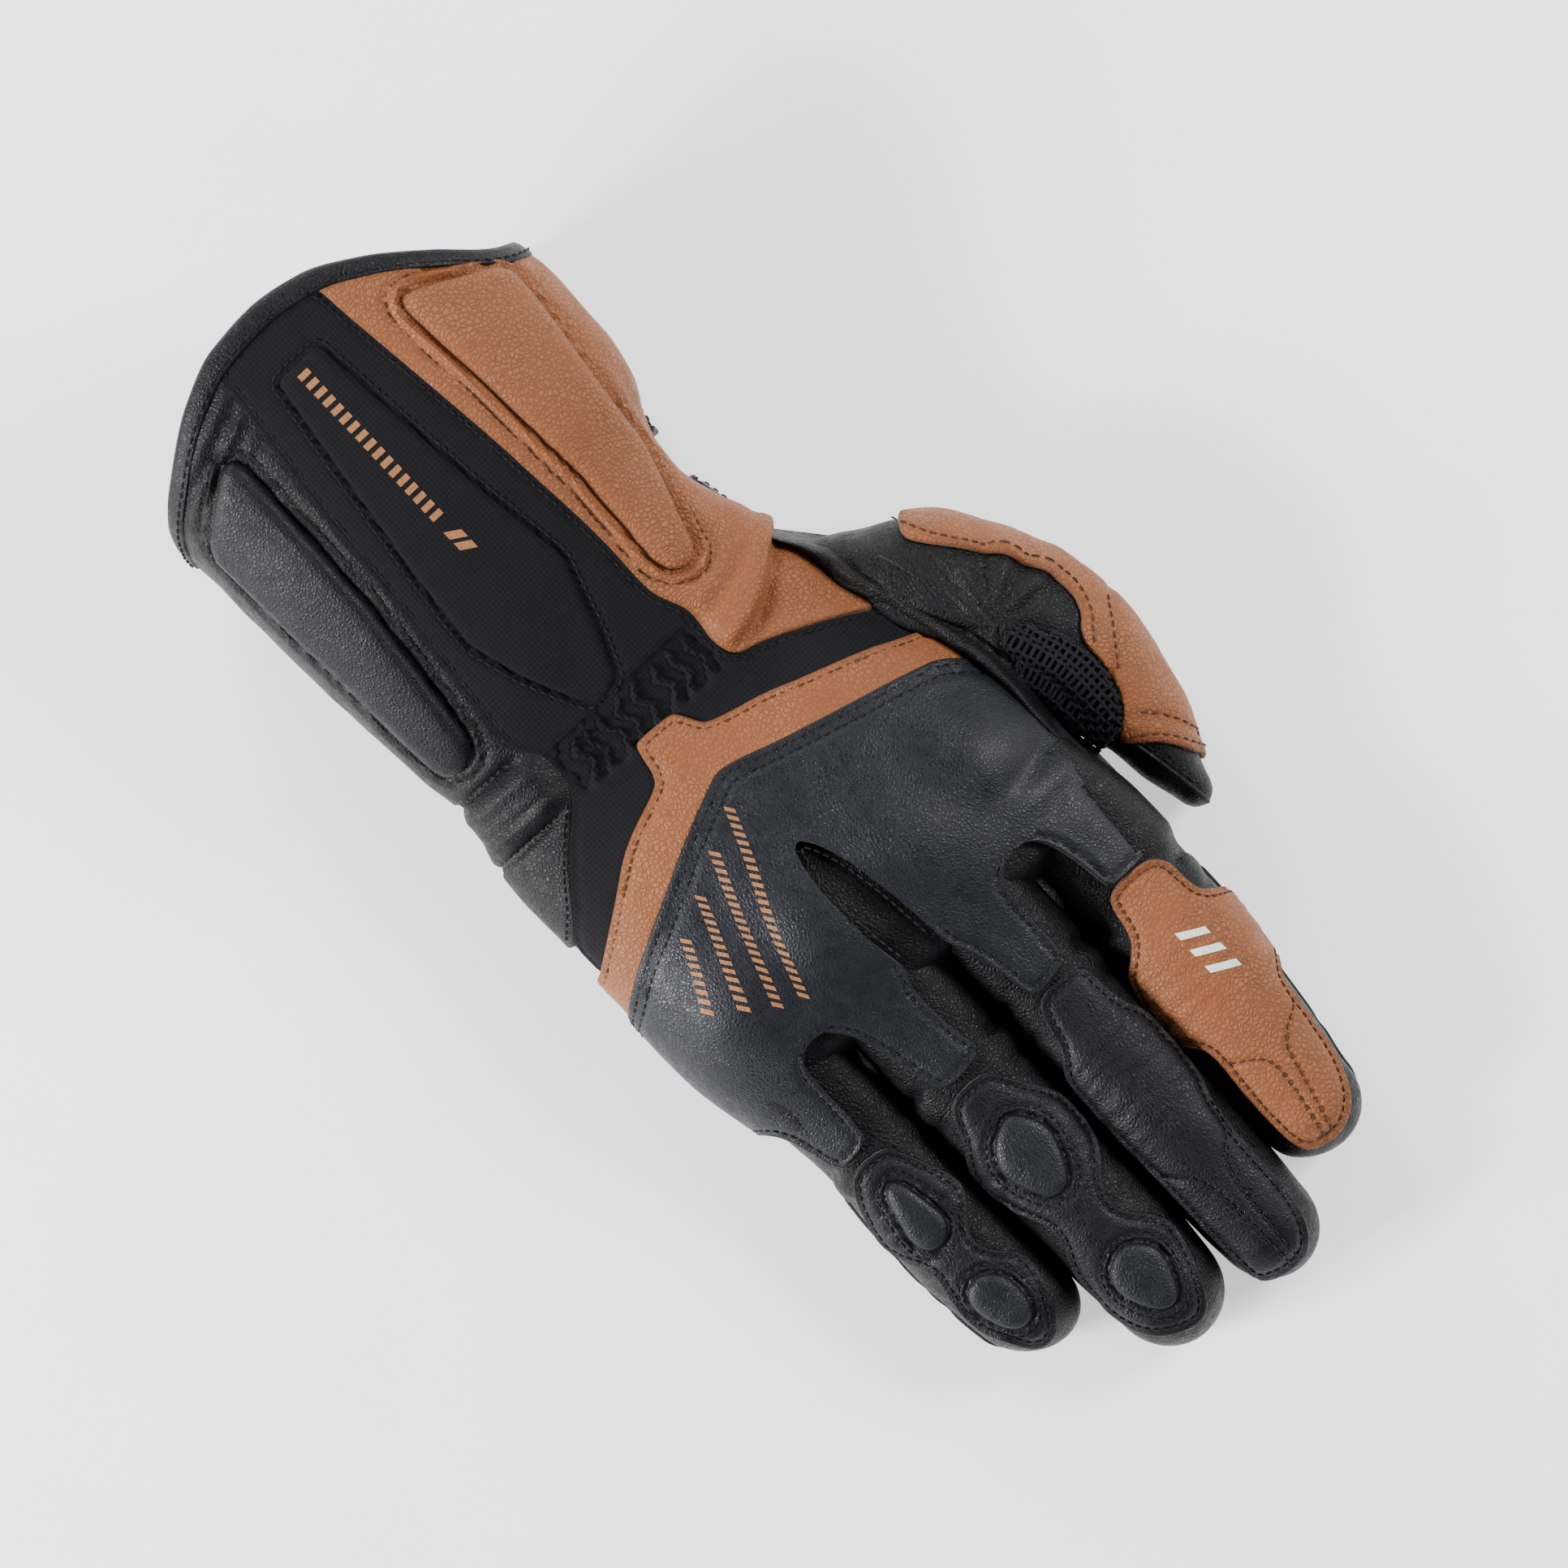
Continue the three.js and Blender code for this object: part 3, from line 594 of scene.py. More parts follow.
def yarns(name, skin, outline, pitch, radius, lift, material):
    """Two sets of yarns woven over and under each other inside an outline."""
    low, high = outline.min(0), outline.max(0)
    strands = Strands()
    for across in (0, 1):
        run = np.arange(low[1 - across], high[1 - across], pitch / 4)
        for number, fixed in enumerate(np.arange(low[across] + pitch / 2, high[across], pitch)):
            places = np.empty((len(run), 2))
            places[:, across], places[:, 1 - across] = fixed, run
            keep = np.flatnonzero(inside(places, outline))
            if len(keep) < 6:
                continue
            places = places[keep[0] : keep[-1] + 1]
            phase = (places[:, 1 - across] - low[1 - across]) / pitch + number + across
            wave = lift + radius * 0.95 * np.cos(np.pi * phase)
            path = skin.at(places, wave)
            along = unit(np.gradient(path, axis=0))
            side = unit(np.cross(along, skin.at(places, wave + 1) - path))
            strands.add(path, 1.25 * radius * side, 0.8 * radius * np.cross(side, along))
    return make_object(name, strands.points, strands.faces, material)


# How the cloth of the padded pieces behaves.
CLOTH = dict(vertex_group_mass="held", use_pressure=True, tension_stiffness=12,
             compression_stiffness=12, bending_stiffness=0.6, quality=4)
CLOTH_FRAMES = 20


def inflate(panel, pressure, limit):
    """Blows a padded panel's top up as cloth held at its edges, by limit mm at most."""
    obj = panel.obj
    rest = np.array([v.co for v in obj.data.vertices])
    from_edge = np.empty(len(rest), np.float32)
    obj.data.attributes["seam"].data.foreach_get("value", from_edge)
    held = obj.vertex_groups.new(name="held")
    for i in range(len(rest)):
        if i >= panel.count or from_edge[i] < panel.round_edge * 0.5:
            held.add([i], 1.0, "REPLACE")
    cloth = obj.modifiers.new("cloth", "CLOTH")
    for key, value in CLOTH.items():
        setattr(cloth.settings, key, value)
    cloth.settings.uniform_pressure_force = pressure
    cloth.settings.effector_weights.gravity = 0
    cloth.collision_settings.use_collision = False
    cloth.point_cache.frame_start, cloth.point_cache.frame_end = 1, CLOTH_FRAMES
    scene = bpy.context.scene
    for frame_number in range(1, CLOTH_FRAMES + 1):
        scene.frame_set(frame_number)
    shape = obj.evaluated_get(bpy.context.evaluated_depsgraph_get()).to_mesh()
    move = np.array([v.co for v in shape.vertices]) - rest
    obj.modifiers.remove(cloth)
    scene.frame_set(1)
    obj.vertex_groups.remove(held)
    far = np.linalg.norm(move, axis=1)[:, None]
    top = limit * MM
    move *= np.tanh(far / top) * top / np.maximum(far, 1e-9)
    for vertex, place in zip(obj.data.vertices, rest + move):
        vertex.co = place
    obj.data.update()


# ---- Materials ----


def from_hex(text):
    """A linear colour from an sRGB hex code."""
    values = [int(text[i : i + 2], 16) / 255 for i in (0, 2, 4)]
    return tuple(v / 12.92 if v <= 0.04045 else ((v + 0.055) / 1.055) ** 2.4 for v in values)


class Nodes:
    """A material's node tree, with short ways to add to it. Sizes and depths are in mm."""

    def __init__(self, name, **values):
        self.material = bpy.data.materials.new(name)
        self.material.use_nodes = True
        self.tree = self.material.node_tree
        self.shader = self.tree.nodes["Principled BSDF"]
        self.fill(self.shader, {key.replace("_", " "): value for key, value in values.items()})
        self.place = self.add("TexCoord").outputs["Object"]

    def fill(self, node, inputs):
        """Sets a node's inputs, by name or number, to values or to other nodes' outputs."""
        for key, value in inputs.items():
            if isinstance(value, bpy.types.NodeSocket):
                self.tree.links.new(value, node.inputs[key])
            elif value is not None:
                node.inputs[key].default_value = value

    def add(self, kind, inputs=None, **settings):
        """A new node of a kind, with its inputs and its settings."""
        node = self.tree.nodes.new("ShaderNode" + kind)
        for key, value in settings.items():
            setattr(node, key, value)
        self.fill(node, inputs or {})
        return node

    def noise(self, size, detail=3.0, roughness=0.55, place=None, stretch=None):
        """Noise with lumps of about the given size."""
        source = place or self.place
        if stretch:
            source = self.add("Mapping", {"Vector": source, "Scale": stretch}).outputs["Vector"]
        inputs = {"Vector": source, "Scale": 1000 / size, "Detail": detail, "Roughness": roughness}
        return self.add("TexNoise", inputs).outputs["Fac"]

    def cells(self, size, feature="DISTANCE_TO_EDGE", place=None):
        """The distance from the edge of a cell, or from its point for the feature F1."""
        inputs = {"Vector": place or self.place, "Scale": 1000 / size}
        return self.add("TexVoronoi", inputs, feature=feature).outputs["Distance"]

    def warped(self, size, amount):
        """The place, moved about by noise."""
        colour = self.add("TexNoise", {"Vector": self.place, "Scale": 1000 / size}).outputs["Color"]
        centred = self.add("VectorMath", {0: colour, 1: (0.5, 0.5, 0.5)}, operation="SUBTRACT").outputs[0]
        scaled = self.add("VectorMath", {0: centred, "Scale": amount * MM}, operation="SCALE").outputs[0]
        return self.add("VectorMath", {0: self.place, 1: scaled}, operation="ADD").outputs[0]

    def range(self, source, low, high, to_low=0.0, to_high=1.0):
        """source eased from the span low to high into another span."""
        inputs = {"Value": source, "From Min": low, "From Max": high, "To Min": to_low, "To Max": to_high}
        return self.add("MapRange", inputs, interpolation_type="SMOOTHSTEP").outputs["Result"]

    def maths(self, operation, a, b=None):
        return self.add("Math", {0: a, 1: b}, operation=operation).outputs[0]

    def times(self, a, b):
        return self.maths("MULTIPLY", a, b)

    def wave(self, source, length):
        """A sine along source that repeats at each length."""
        return self.maths("SINE", self.times(source, 2 * math.pi * 1000 / length))

    def mix(self, share, a, b):
        """A colour between a and b. Each is a colour, its hex code or another node's output."""
        node = self.add("Mix", {0: share}, data_type="RGBA")
        ends = [i for i, socket in enumerate(node.inputs) if socket.type == "RGBA"]
        for i, value in zip(ends, (a, b)):
            value = from_hex(value) if isinstance(value, str) else value
            self.fill(node, {i: (*value, 1.0) if isinstance(value, tuple) else value})
        return next(s for s in node.outputs if s.type == "RGBA")

    def bump(self, height, depth, strength=1.0, after=None):
        """A normal raised by height, over the normal in after."""
        inputs = {"Height": height, "Distance": depth * MM, "Strength": strength, "Normal": after}
        return self.add("Bump", inputs).outputs["Normal"]

    def axes(self):
        """The place's x, y and z."""
        return self.add("SeparateXYZ", {0: self.place}).outputs

    def done(self, colour, roughness, normal=None):
        """The finished material."""
        self.fill(self.shader, {"Base Color": colour, "Roughness": roughness, "Normal": normal})
        return self.material


def leather(name, colour, deep, pale, grain, depth, rough, gloss, valleys=0.5, seam_shade=0.5):
    """Grained leather. grain is the size of its pebbles and depth their height. The last value sets how dark
    the painted shade along each sheet's edge gets.
    """
    n = Nodes(name, Specular_IOR_Level=gloss)
    place = n.warped(grain * 3.2, grain * 0.9)
    from_valley = n.cells(grain, place=place)
    pebbles = n.range(from_valley, 0.0, 0.30)
    small = n.range(n.cells(grain * 0.42, place=place), 0.0, 0.35)
    patches = n.noise(14, 3, 0.6)
    strength = n.range(patches, 0.3, 0.7, 0.45, 1.0)
    folds = n.noise(5.5, 5, 0.62, place=place, stretch=(1.0, 0.55, 1.0))
    normal = n.bump(folds, 0.30, 0.6)
    normal = n.bump(n.times(pebbles, strength), depth, 1.0, normal)
    normal = n.bump(small, depth * 0.35, 0.6, normal)
    valley = n.times(n.range(from_valley, 0.0, 0.17, 1.0, 0.0), strength)
    tone = n.mix(n.range(patches, 0.25, 0.75), colour, pale)
    tone = n.mix(n.times(valley, valleys), tone, deep)
    tone = n.mix(n.range(n.noise(0.7, 4, 0.7), 0.58, 0.85, 0.0, 0.2), tone, deep)
    # Painted shade along the seams: the colour darkens within about 1.3 mm of a sheet's edge, with a margin
    # made ragged by noise.
    edge = n.add("Attribute", attribute_name="seam").outputs["Fac"]
    wear_and_seam_shade = n.maths("ADD", edge, n.range(n.noise(1.6, 4), 0.3, 0.7, -0.35, 0.35))
    tone = n.mix(n.range(wear_and_seam_shade, 0.05, 1.3, seam_shade, 0.0), tone, deep)
    roughness = n.maths("ADD", n.range(pebbles, 0.0, 1.0, rough + 0.16, rough),
                        n.range(n.noise(3.0, 4), 0.3, 0.7, -0.06, 0.08))
    return n.done(tone, roughness, normal)


def ripstop(name, ground, line, pitch=1.0):
    """Plain weave with a thin raised grid, and a painted highlight on the crowns of its threads."""
    n = Nodes(name, Specular_IOR_Level=0.15, Sheen_Weight=0.04, Sheen_Roughness=0.45)
    pale, painted_crown_highlight = (tuple(c * more for c in from_hex(ground)) for more in (1.35, 2.0))
    lines, weave = [], []
    for axis in n.axes()[:2]:
        turn = n.maths("FRACT", n.times(axis, 1000 / pitch))
        lines.append(n.range(n.maths("ABSOLUTE", n.maths("SUBTRACT", turn, 0.5)), 0.30, 0.5))
        weave.append(n.wave(axis, 0.34))
    grid = n.maths("MAXIMUM", *lines)
    threads = n.times(*weave)
    wear_and_seam_shade = n.range(n.noise(2.2, 4, 0.7), 0.35, 0.75)
    normal = n.bump(n.noise(9, 3), 0.8, 0.35)
    normal = n.bump(threads, 0.05, 0.8, normal)
    normal = n.bump(grid, 0.10, 0.9, normal)
    tone = n.mix(n.range(n.noise(18, 3), 0.3, 0.7), ground, pale)
    tone = n.mix(n.times(grid, n.range(wear_and_seam_shade, 0.0, 1.0, 0.18, 0.62)), tone, line)
    # Painted highlight: where the threads rise, the colour is lightened towards twice the ground's.
    tone = n.mix(n.range(threads, 0.2, 1.0, 0.0, 0.25), tone, painted_crown_highlight)
    return n.done(tone, n.range(wear_and_seam_shade, 0, 1, 0.68, 0.8), normal)


def thread(name, colour, deep):
    """Twisted sewing thread."""
    n = Nodes(name, Specular_IOR_Level=0.35, Sheen_Weight=0.02)
    x, y, z = n.axes()
    slant = n.maths("ADD", n.maths("ADD", x, n.times(y, 0.8)), z)
    twist = n.wave(slant, 0.3)
    tone = n.mix(n.range(twist, -1, 1), deep, colour)
    tone = n.mix(n.range(n.noise(4), 0.3, 0.7, 0.0, 0.4), tone, deep)
    return n.done(tone, n.range(twist, -1, 1, 0.6, 0.38), n.bump(twist, 0.06))


def raw_edge(name, colour, deep):
    """The rough cut edge of a hide."""
    n = Nodes(name, Specular_IOR_Level=0.2, Sheen_Weight=0.2)
    fluff = n.noise(0.35, 6, 0.8)
    tone = n.mix(n.range(fluff, 0.35, 0.65), deep, colour)
    return n.done(tone, n.range(fluff, 0.3, 0.7, 0.8, 0.95), n.bump(fluff, 0.25))


def fabric(name, ground, pale, pitch=0.5, depth=0.12, rough=0.85):
    """Plain knit or lining cloth."""
    n = Nodes(name, Specular_IOR_Level=0.15, Sheen_Weight=0.08, Sheen_Roughness=0.5)
    x, y, z = n.axes()
    stitch = n.times(n.wave(n.maths("ADD", x, z), pitch), n.wave(n.maths("ADD", y, z), pitch * 1.3))
    fuzz = n.noise(0.6, 5, 0.75)
    tone = n.mix(n.range(stitch, -1, 1), ground, pale)
    tone = n.mix(n.range(fuzz, 0.4, 0.7, 0.0, 0.5), tone, ground)
    normal = n.bump(stitch, depth, 0.8, n.bump(n.noise(7, 3), 0.6, 0.4))
    return n.done(tone, n.range(fuzz, 0.3, 0.7, rough - 0.08, rough + 0.08), normal)


def hook_tape(name, ground, pale):
    """Hook and loop tape: rows of hooks under a haze of fibre."""
    n = Nodes(name, Specular_IOR_Level=0.4, Sheen_Weight=0.15)
    hooks = n.range(n.cells(0.9, "F1", n.warped(3, 0.35)), 0.1, 0.5, 1.0, 0.0)
    fibre = n.noise(0.3, 6, 0.85)
    tone = n.mix(n.range(hooks, 0.2, 0.9), ground, pale)
    normal = n.bump(fibre, 0.2, 0.8, n.bump(hooks, 0.5, 0.9))
    return n.done(tone, n.range(fibre, 0.3, 0.7, 0.5, 0.8), normal)


def hard_plastic(name, colour, pale):
    """Moulded plastic with fine scuffs."""
    n = Nodes(name, Specular_IOR_Level=0.5)
    scuffs = n.noise(9, 5, 0.7, stretch=(1.0, 0.2, 1.0))
    tone = n.mix(n.range(scuffs, 0.5, 0.75, 0.0, 0.5), colour, pale)
    return n.done(tone, n.range(scuffs, 0.4, 0.7, 0.38, 0.58), n.bump(n.noise(0.5, 5, 0.7), 0.05))


def print_ink(name, colour, worn_colour):
    """A thin printed film, slightly broken up by the grain beneath it."""
    n = Nodes(name, Specular_IOR_Level=0.4)
    grain = n.range(n.cells(0.9, place=n.warped(3, 0.8)), 0.0, 0.3)
    wear = n.noise(1.2, 5, 0.75)
    tone = n.mix(n.range(wear, 0.45, 0.8, 0.0, 0.55), colour, worn_colour)
    return n.done(tone, n.range(wear, 0.3, 0.7, 0.45, 0.62), n.bump(grain, 0.12, 0.7))


def floor_paper(name):
    """The pale paper that the glove lies on."""
    n = Nodes(name, Specular_IOR_Level=0.1, Emission_Color=(1, 1, 1, 1), Emission_Strength=0.85)
    tone = n.mix(n.range(n.noise(60, 3), 0.3, 0.7), (0.93, 0.93, 0.93), (0.95, 0.95, 0.95))
    return n.done(tone, n.range(n.noise(3, 3), 0.3, 0.7, 0.75, 0.85))


# The last value of each leather sets how strong the painted shade along its sheets' edges is.
TAN = leather("tan_leather", "884e2b", "4f2b16", "965d37", 1.2, 0.19, 0.45, 0.31, 0.6, 0.45)
BLACK = leather("black_leather", "060608", "010101", "0a0a0d", 0.95, 0.13, 0.40, 0.27, 0.5, 0.2)
SHIELD = leather("shield_leather", "15151c", "08080b", "1a1a22", 0.9, 0.08, 0.36, 0.32, 0.5, 0.3)
SMOOTH_BLACK = leather("smooth_black_leather", "0a0a0e", "030304", "0f0f14",
                       0.95, 0.09, 0.41, 0.28, 0.5, 0.3)
TAN_EDGE = raw_edge("tan_cut_edge", "7a4a2a", "40230f")
BLACK_EDGE = raw_edge("black_cut_edge", "0c0c0f", "030304")
TEXTILE = ripstop("ripstop_textile", "08080c", "252224")
DARK_THREAD = thread("dark_thread", "0b0b0f", "020203")
BROWN_THREAD = thread("brown_thread", "6b3c1e", "37200f")
LINING = fabric("lining", "0d0d10", "1c1c20")
MESH_BACK = fabric("mesh_backing", "060607", "0c0c0e", 0.7)
MESH_YARN = fabric("mesh_yarn", "0d0d10", "232328", 0.3, 0.08, 0.55)
WEBBING = fabric("webbing", "0b0b0d", "1a1a1d", 0.9, 0.2, 0.75)
HOOKS = hook_tape("hook_loop", "08080a", "1d1d20")
ARMOUR = hard_plastic("hard_armour", "0f0f11", "202023")
PALE_PRINT = print_ink("pale_print", "efefee", "c9c7c4")
TAN_PRINT = print_ink("tan_print", "9a663e", "4a301d")


# ---- Camera, light and floor ----


# The camera: its lens and sensor in mm, the width it sees and its shift in metres, its turn in degrees.
LENS, SENSOR = 620.0, 36.0
VIEW_WIDTH = 0.3574
SHIFT_X, SHIFT_Y = 0.0004, -0.0106
TURN = 47
FLOOR_HALF, FLOOR_GAP = 3.0, 0.0001


def set_up_studio():
    """A camera straight overhead on a long lens, turned so that the glove lies across the picture."""
    camera_data = bpy.data.cameras.new("camera")
    camera_data.lens, camera_data.sensor_width = LENS, SENSOR
    camera_data.clip_end = 20
    camera = bpy.data.objects.new("camera", camera_data)
    middle = (cad_low + cad_high) / 2
    camera.location = (middle.x + SHIFT_X, middle.y + SHIFT_Y, middle.z + VIEW_WIDTH * LENS / SENSOR)
    camera.rotation_euler = (0, 0, math.radians(TURN))
    bpy.context.scene.collection.objects.link(camera)
    bpy.context.scene.camera = camera

    def area(name, place, size, power, target=(-0.016, 0.015, 0.02)):
        data = bpy.data.lights.new(name, "AREA")
        data.shape, data.size, data.size_y, data.energy = "RECTANGLE", size, size, power
        lamp = bpy.data.objects.new(name, data)
        lamp.location = place
        aim = Vector(target) - Vector(place)
        lamp.rotation_euler = aim.to_track_quat("-Z", "Y").to_euler()
        bpy.context.scene.collection.objects.link(lamp)

    area("key_light", (-0.40, -1.30, 0.72), 0.45, 50.0)
    area("fill_light", (0.30, 1.15, 1.05), 0.6, 26.0)
    area("rim_light", (-1.25, 0.30, 0.60), 0.45, 13.0)
    world = bpy.data.worlds.new("studio")
    world.use_nodes = True
    sky = world.node_tree.nodes["Background"]
    sky.inputs["Color"].default_value = (0.90, 0.93, 1.0, 1)
    sky.inputs["Strength"].default_value = 0.22
    bpy.context.scene.world = world
    mesh = bpy.data.meshes.new("floor")
    size, height = FLOOR_HALF, min(0.0, cad_low.z) - FLOOR_GAP
    mesh.from_pydata([(-size, -size, height), (size, -size, height), (size, size, height),
                      (-size, size, height)], [], [(0, 1, 2, 3)])
    mesh.materials.append(floor_paper("floor_paper"))
    floor = bpy.data.objects.new("floor", mesh)
    bpy.context.scene.collection.objects.link(floor)
    floor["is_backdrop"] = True


set_up_studio()


# ---- The surfaces that the panels lie on ----

# The two bodies that a piece over the wrist lies between, and the start and end of a blend between them in
# metres, which follow() doesn't apply.
WRIST = ("cuff", "hand", (-0.064, 0, 0.03), (-0.040, 0, 0.03))
# Cuff and hand seen from above, then the heights of their underside and top, by x.
LITTLE_SIDE = [(-180, -53.5), (-150, -53), (-135, -52), (-100, -50.3), (-72, -48.6), (-62, -47),
               (-54, -47.4), (-47, -49.6), (-35, -50.6), (-12, -50), (20, -49), (38, -46.2), (50, -45),
               (64, -43)]
THUMB_SIDE = [(-180, 46), (-150, 47), (-140, 48.6), (-118, 48.6), (-108, 46.5), (-100, 42.5), (-93, 40.4),
              (-85, 39.8), (-75, 41.6), (-65, 43.8), (-58, 46), (-50, 49), (-40, 51.6), (-30, 54.6),
              (-20, 57), (-8, 59.6), (10, 61.3), (20, 62.6), (30, 65), (40, 66.2), (50, 66), (64, 64)]
TRUNK_UNDER = [(-180, 3), (-120, 4), (-90, 4.5), (-75, 6), (-56, 6), (-44, 4), (-30, 2.4), (64, 2.4)]
TRUNK_TOP = [(-180, 67), (-154, 66), (-135, 65), (-120, 63), (-105, 60), (-90, 56.5), (-75, 52.5), (-60, 48),
             (-50, 45.5), (-38, 45), (-24, 46.4), (-8, 47.6), (10, 47.8), (22, 46.4), (34, 43), (44, 39.8),
             (54, 37.4), (64, 35.6)]


def trunk_shape(rows, rounds, points):
    """Knuckles under the leather, and the slow waves of a soft hide."""
    bump = np.zeros(len(rows))
    for x, y, size in ((8, 46, 3.2), (14, 22, 1.6), (15, -6, 2.0), (14, -33, 2.6)):
        bump += size * hump(points[:, 0] - x, 12) * hump(points[:, 1] - y, 9)
    bump *= smooth((points[:, 2] - 28) / 8)
    fade = smooth((points[:, 2] - 6) / 8)
    return bump + fade * 0.7 * lumps(points, (38, 22, 22), 2, 1.0)


trunk = tube_skin(LITTLE_SIDE, THUMB_SIDE, TRUNK_UNDER, TRUNK_TOP)
trunk.push(trunk_shape)

# Each finger: its two sides in plan, its height at a few places, and its joint.
FINGERS = {
    "index": dict(
        low=[(18, 38), (40, 36.9), (60, 36), (75, 35.8), (90, 35.7), (110, 34.8), (124, 34.7), (131.6, 36)],
        high=[(18, 64), (40, 68), (50, 68.2), (56, 66.6), (70, 66.3), (90, 64.3), (110, 61.6), (120, 60.2),
              (131.6, 60)],
        top=[(70, 33.5), (80, 33), (100, 30), (118, 27), (131.6, 25)], joint=(80, 49.2)),
    "middle": dict(
        low=[(18, 10), (45, 9.5), (60, 9.4), (90, 9.2), (120, 9.25), (146, 10.6)],
        high=[(18, 36), (45, 36.8), (70, 36.3), (90, 36), (110, 35.3), (130, 34.1), (146, 33)],
        top=[(72, 35), (88, 34), (110, 31), (130, 27.5), (146, 25)], joint=(88, 23)),
    "ring": dict(
        low=[(18, -18.5), (45, -19.2), (70, -19.6), (90, -19.3), (110, -18.9), (130, -17.5), (142, -16.6)],
        high=[(18, 9), (45, 9.4), (70, 9.4), (90, 9.4), (110, 9.5), (125, 8.7), (142, 7)],
        top=[(70, 35), (84, 34), (105, 31), (126, 27.5), (142, 25)], joint=(84.5, -4.6)),
    "little": dict(
        low=[(18, -46.5), (40, -45.6), (58, -44), (70, -44.8), (85, -45), (100, -44), (110, -42.6),
             (121, -40)],
        high=[(18, -19.6), (45, -19.2), (70, -19.4), (90, -19.1), (105, -18.9), (121, -18)],
        top=[(66, 31), (77, 30), (95, 27.5), (110, 25), (121, 23)], joint=(77, -31.4)),
}


def finger_shape(name):
    """Wrinkles down a finger's sides, deepest at its root and over its joint."""
    joint = FINGERS[name]["joint"][0]
    tip = FINGERS[name]["low"][-1][0]
    seed = 2.0 + list(FINGERS).index(name)

    def amount(rows, rounds, points):
        side = smooth((np.abs(rounds) - 9) / 6) * smooth((np.abs(points[:, 2] - 15) - 1) / 5)
        depth = 0.22 * lumps(points, (12, 16, 9), 3, seed) * smooth((tip - rows) / 14)
        wavy = 2.0 * lumps(points, (30, 9, 9), 2, seed + 7)
        for at, size in ((57, 1.3), (66, 0.7), (joint + 4, 0.6), (joint + 14, 0.4), (tip - 24, 0.5)):
            depth -= side * size * hump(rows + wavy - at, 1.6)
        depth += side * 0.6 * hump(rows + wavy - 61.5, 3.5)
        return depth * smooth((rows - 36) / 10) * smooth((points[:, 2] - 2) / 6)

    return amount


# The length over which a fingertip closes.
TIP_DOME = 12.5
# Where each finger's root lies, by x, over the back of the hand.
ROOT_RISE = [(18, -0.7), (30, 0.4), (40, 1.2), (50, 1.3), (58, 1.0)]
skins = {}
for name, shape in FINGERS.items():
    tip = shape["low"][-1][0]
    roots = []
    for x, rise in ROOT_RISE:
        middle = (table(shape["low"], x)[0, 0] + table(shape["high"], x)[0, 0]) / 2
        roots.append((x, trunk.at(trunk.places([(x, middle)]))[0, 2] + rise))
    under = [(18, 8), (32, 4), (40, 2.6), (75, 0.9), (tip, 0.5)]
    skins[name] = tube_skin(shape["low"], shape["high"], under, roots + shape["top"], TIP_DOME,
                            [(18, 4.2), (45, 3.4), (62, 2.7), (tip, 2.3)])
    skins[name].push(finger_shape(name))

# x, y, half width, underside and top along the thumb's middle.
THUMB_ROWS = [(-60, 43, 0.8, 18, 27), (-52, 47.8, 3.2, 12, 31), (-43, 54, 7.8, 7.5, 35),
              (-33, 60.6, 14, 5.5, 37.5), (-24, 66, 16.6, 4.5, 38), (-6, 75, 16.6, 3, 35.5),
              (12, 79.3, 14, 1.6, 32), (28, 79.6, 10.4, 0.8, 27.5), (40, 78.2, 7.2, 1.4, 23.5),
              (47, 77.9, 4.9, 2.6, 20), (50.6, 77.8, 3.9, 4, 18), (52.6, 77.8, 2.6, 6, 15.6),
              (53.6, 77.8, 0.7, 9, 12)]


def thumb_shape(rows, rounds, points):
    """Long folds towards the hand, and a fan of folds at the back of the mesh."""
    from_fan = points[:, :2] - (-10, 70)
    reach = np.hypot(*from_fan.T) + 1e-6
    turn = np.arctan2(from_fan[:, 1], from_fan[:, 0])
    fan = np.sin(turn * 9 + 0.6 * lumps(points, 9, 2, 11)) * smooth((reach - 2) / 7)
    fan *= smooth((24 - reach) / 10) * smooth((-points[:, 0] - 4) / 6) * smooth((points[:, 1] - 66) / 4)
    side = smooth((-rounds - 2) / 5) * smooth((110 - rows) / 25)
    long = np.sin(rounds * 2 * math.pi / 6.5 + 1.6 * lumps(points, (40, 25, 25), 2, 12))
    return (0.85 * fan + 0.75 * side * long * smooth((points[:, 2] - 10) / 6)
            + 0.35 * lumps(points, (16, 9, 9), 3, 13)) * smooth((98 - rows) / 20) * smooth(rows / 20)


thumb = ThumbSkin(THUMB_ROWS)
thumb.push(thumb_shape)


# ---- Small helpers for the pieces ----

# The blends over the thumb's two joints, and those over the fingers' below.
THUMB_ROOT = ("hand", "thumb_base", (-0.056, 0.050, 0.02), (-0.030, 0.064, 0.02))
THUMB_JOINT = ("thumb_base", "thumb_tip", (0.016, 0.0795, 0.017), (0.032, 0.0795, 0.017))


def knuckle(name):
    """The blend over the joint at a finger's root."""
    return ("hand", f"{name}_base", (0.030, 0, 0.024), (0.050, 0, 0.024))


def finger_joint(name):
    """The blend over the joint in the middle of a finger."""
    x, y = FINGERS[name]["joint"]
    return (f"{name}_base", f"{name}_tip", ((x - 8) * MM, y * MM, 0.017), ((x + 8) * MM, y * MM, 0.017))


def follow(obj, body, replaces=()):
    """Attaches the piece to its body; for a (body, body, start, end) blend it only bakes the piece's
    transform where it stands. Hides the nodes it replaces.
    """
    if isinstance(body, str):
        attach(obj, body)
    else:
        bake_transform(obj)
    if replaces:
        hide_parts(*replaces)


def sew(name, body, rows, thread_material=DARK_THREAD):
    """Rows of stitches as one piece. rows: a panel, a line and any of stitch_row's further values."""
    strands = Strands()
    for row in rows:
        stitch_row(strands, *row)
    follow(make_object(name, strands.points, strands.faces, thread_material), body)


def open_line(skin, plan, times=2):
    """An open line drawn in plan, as places on the skin."""
    return skin.trace(plan, False, times)


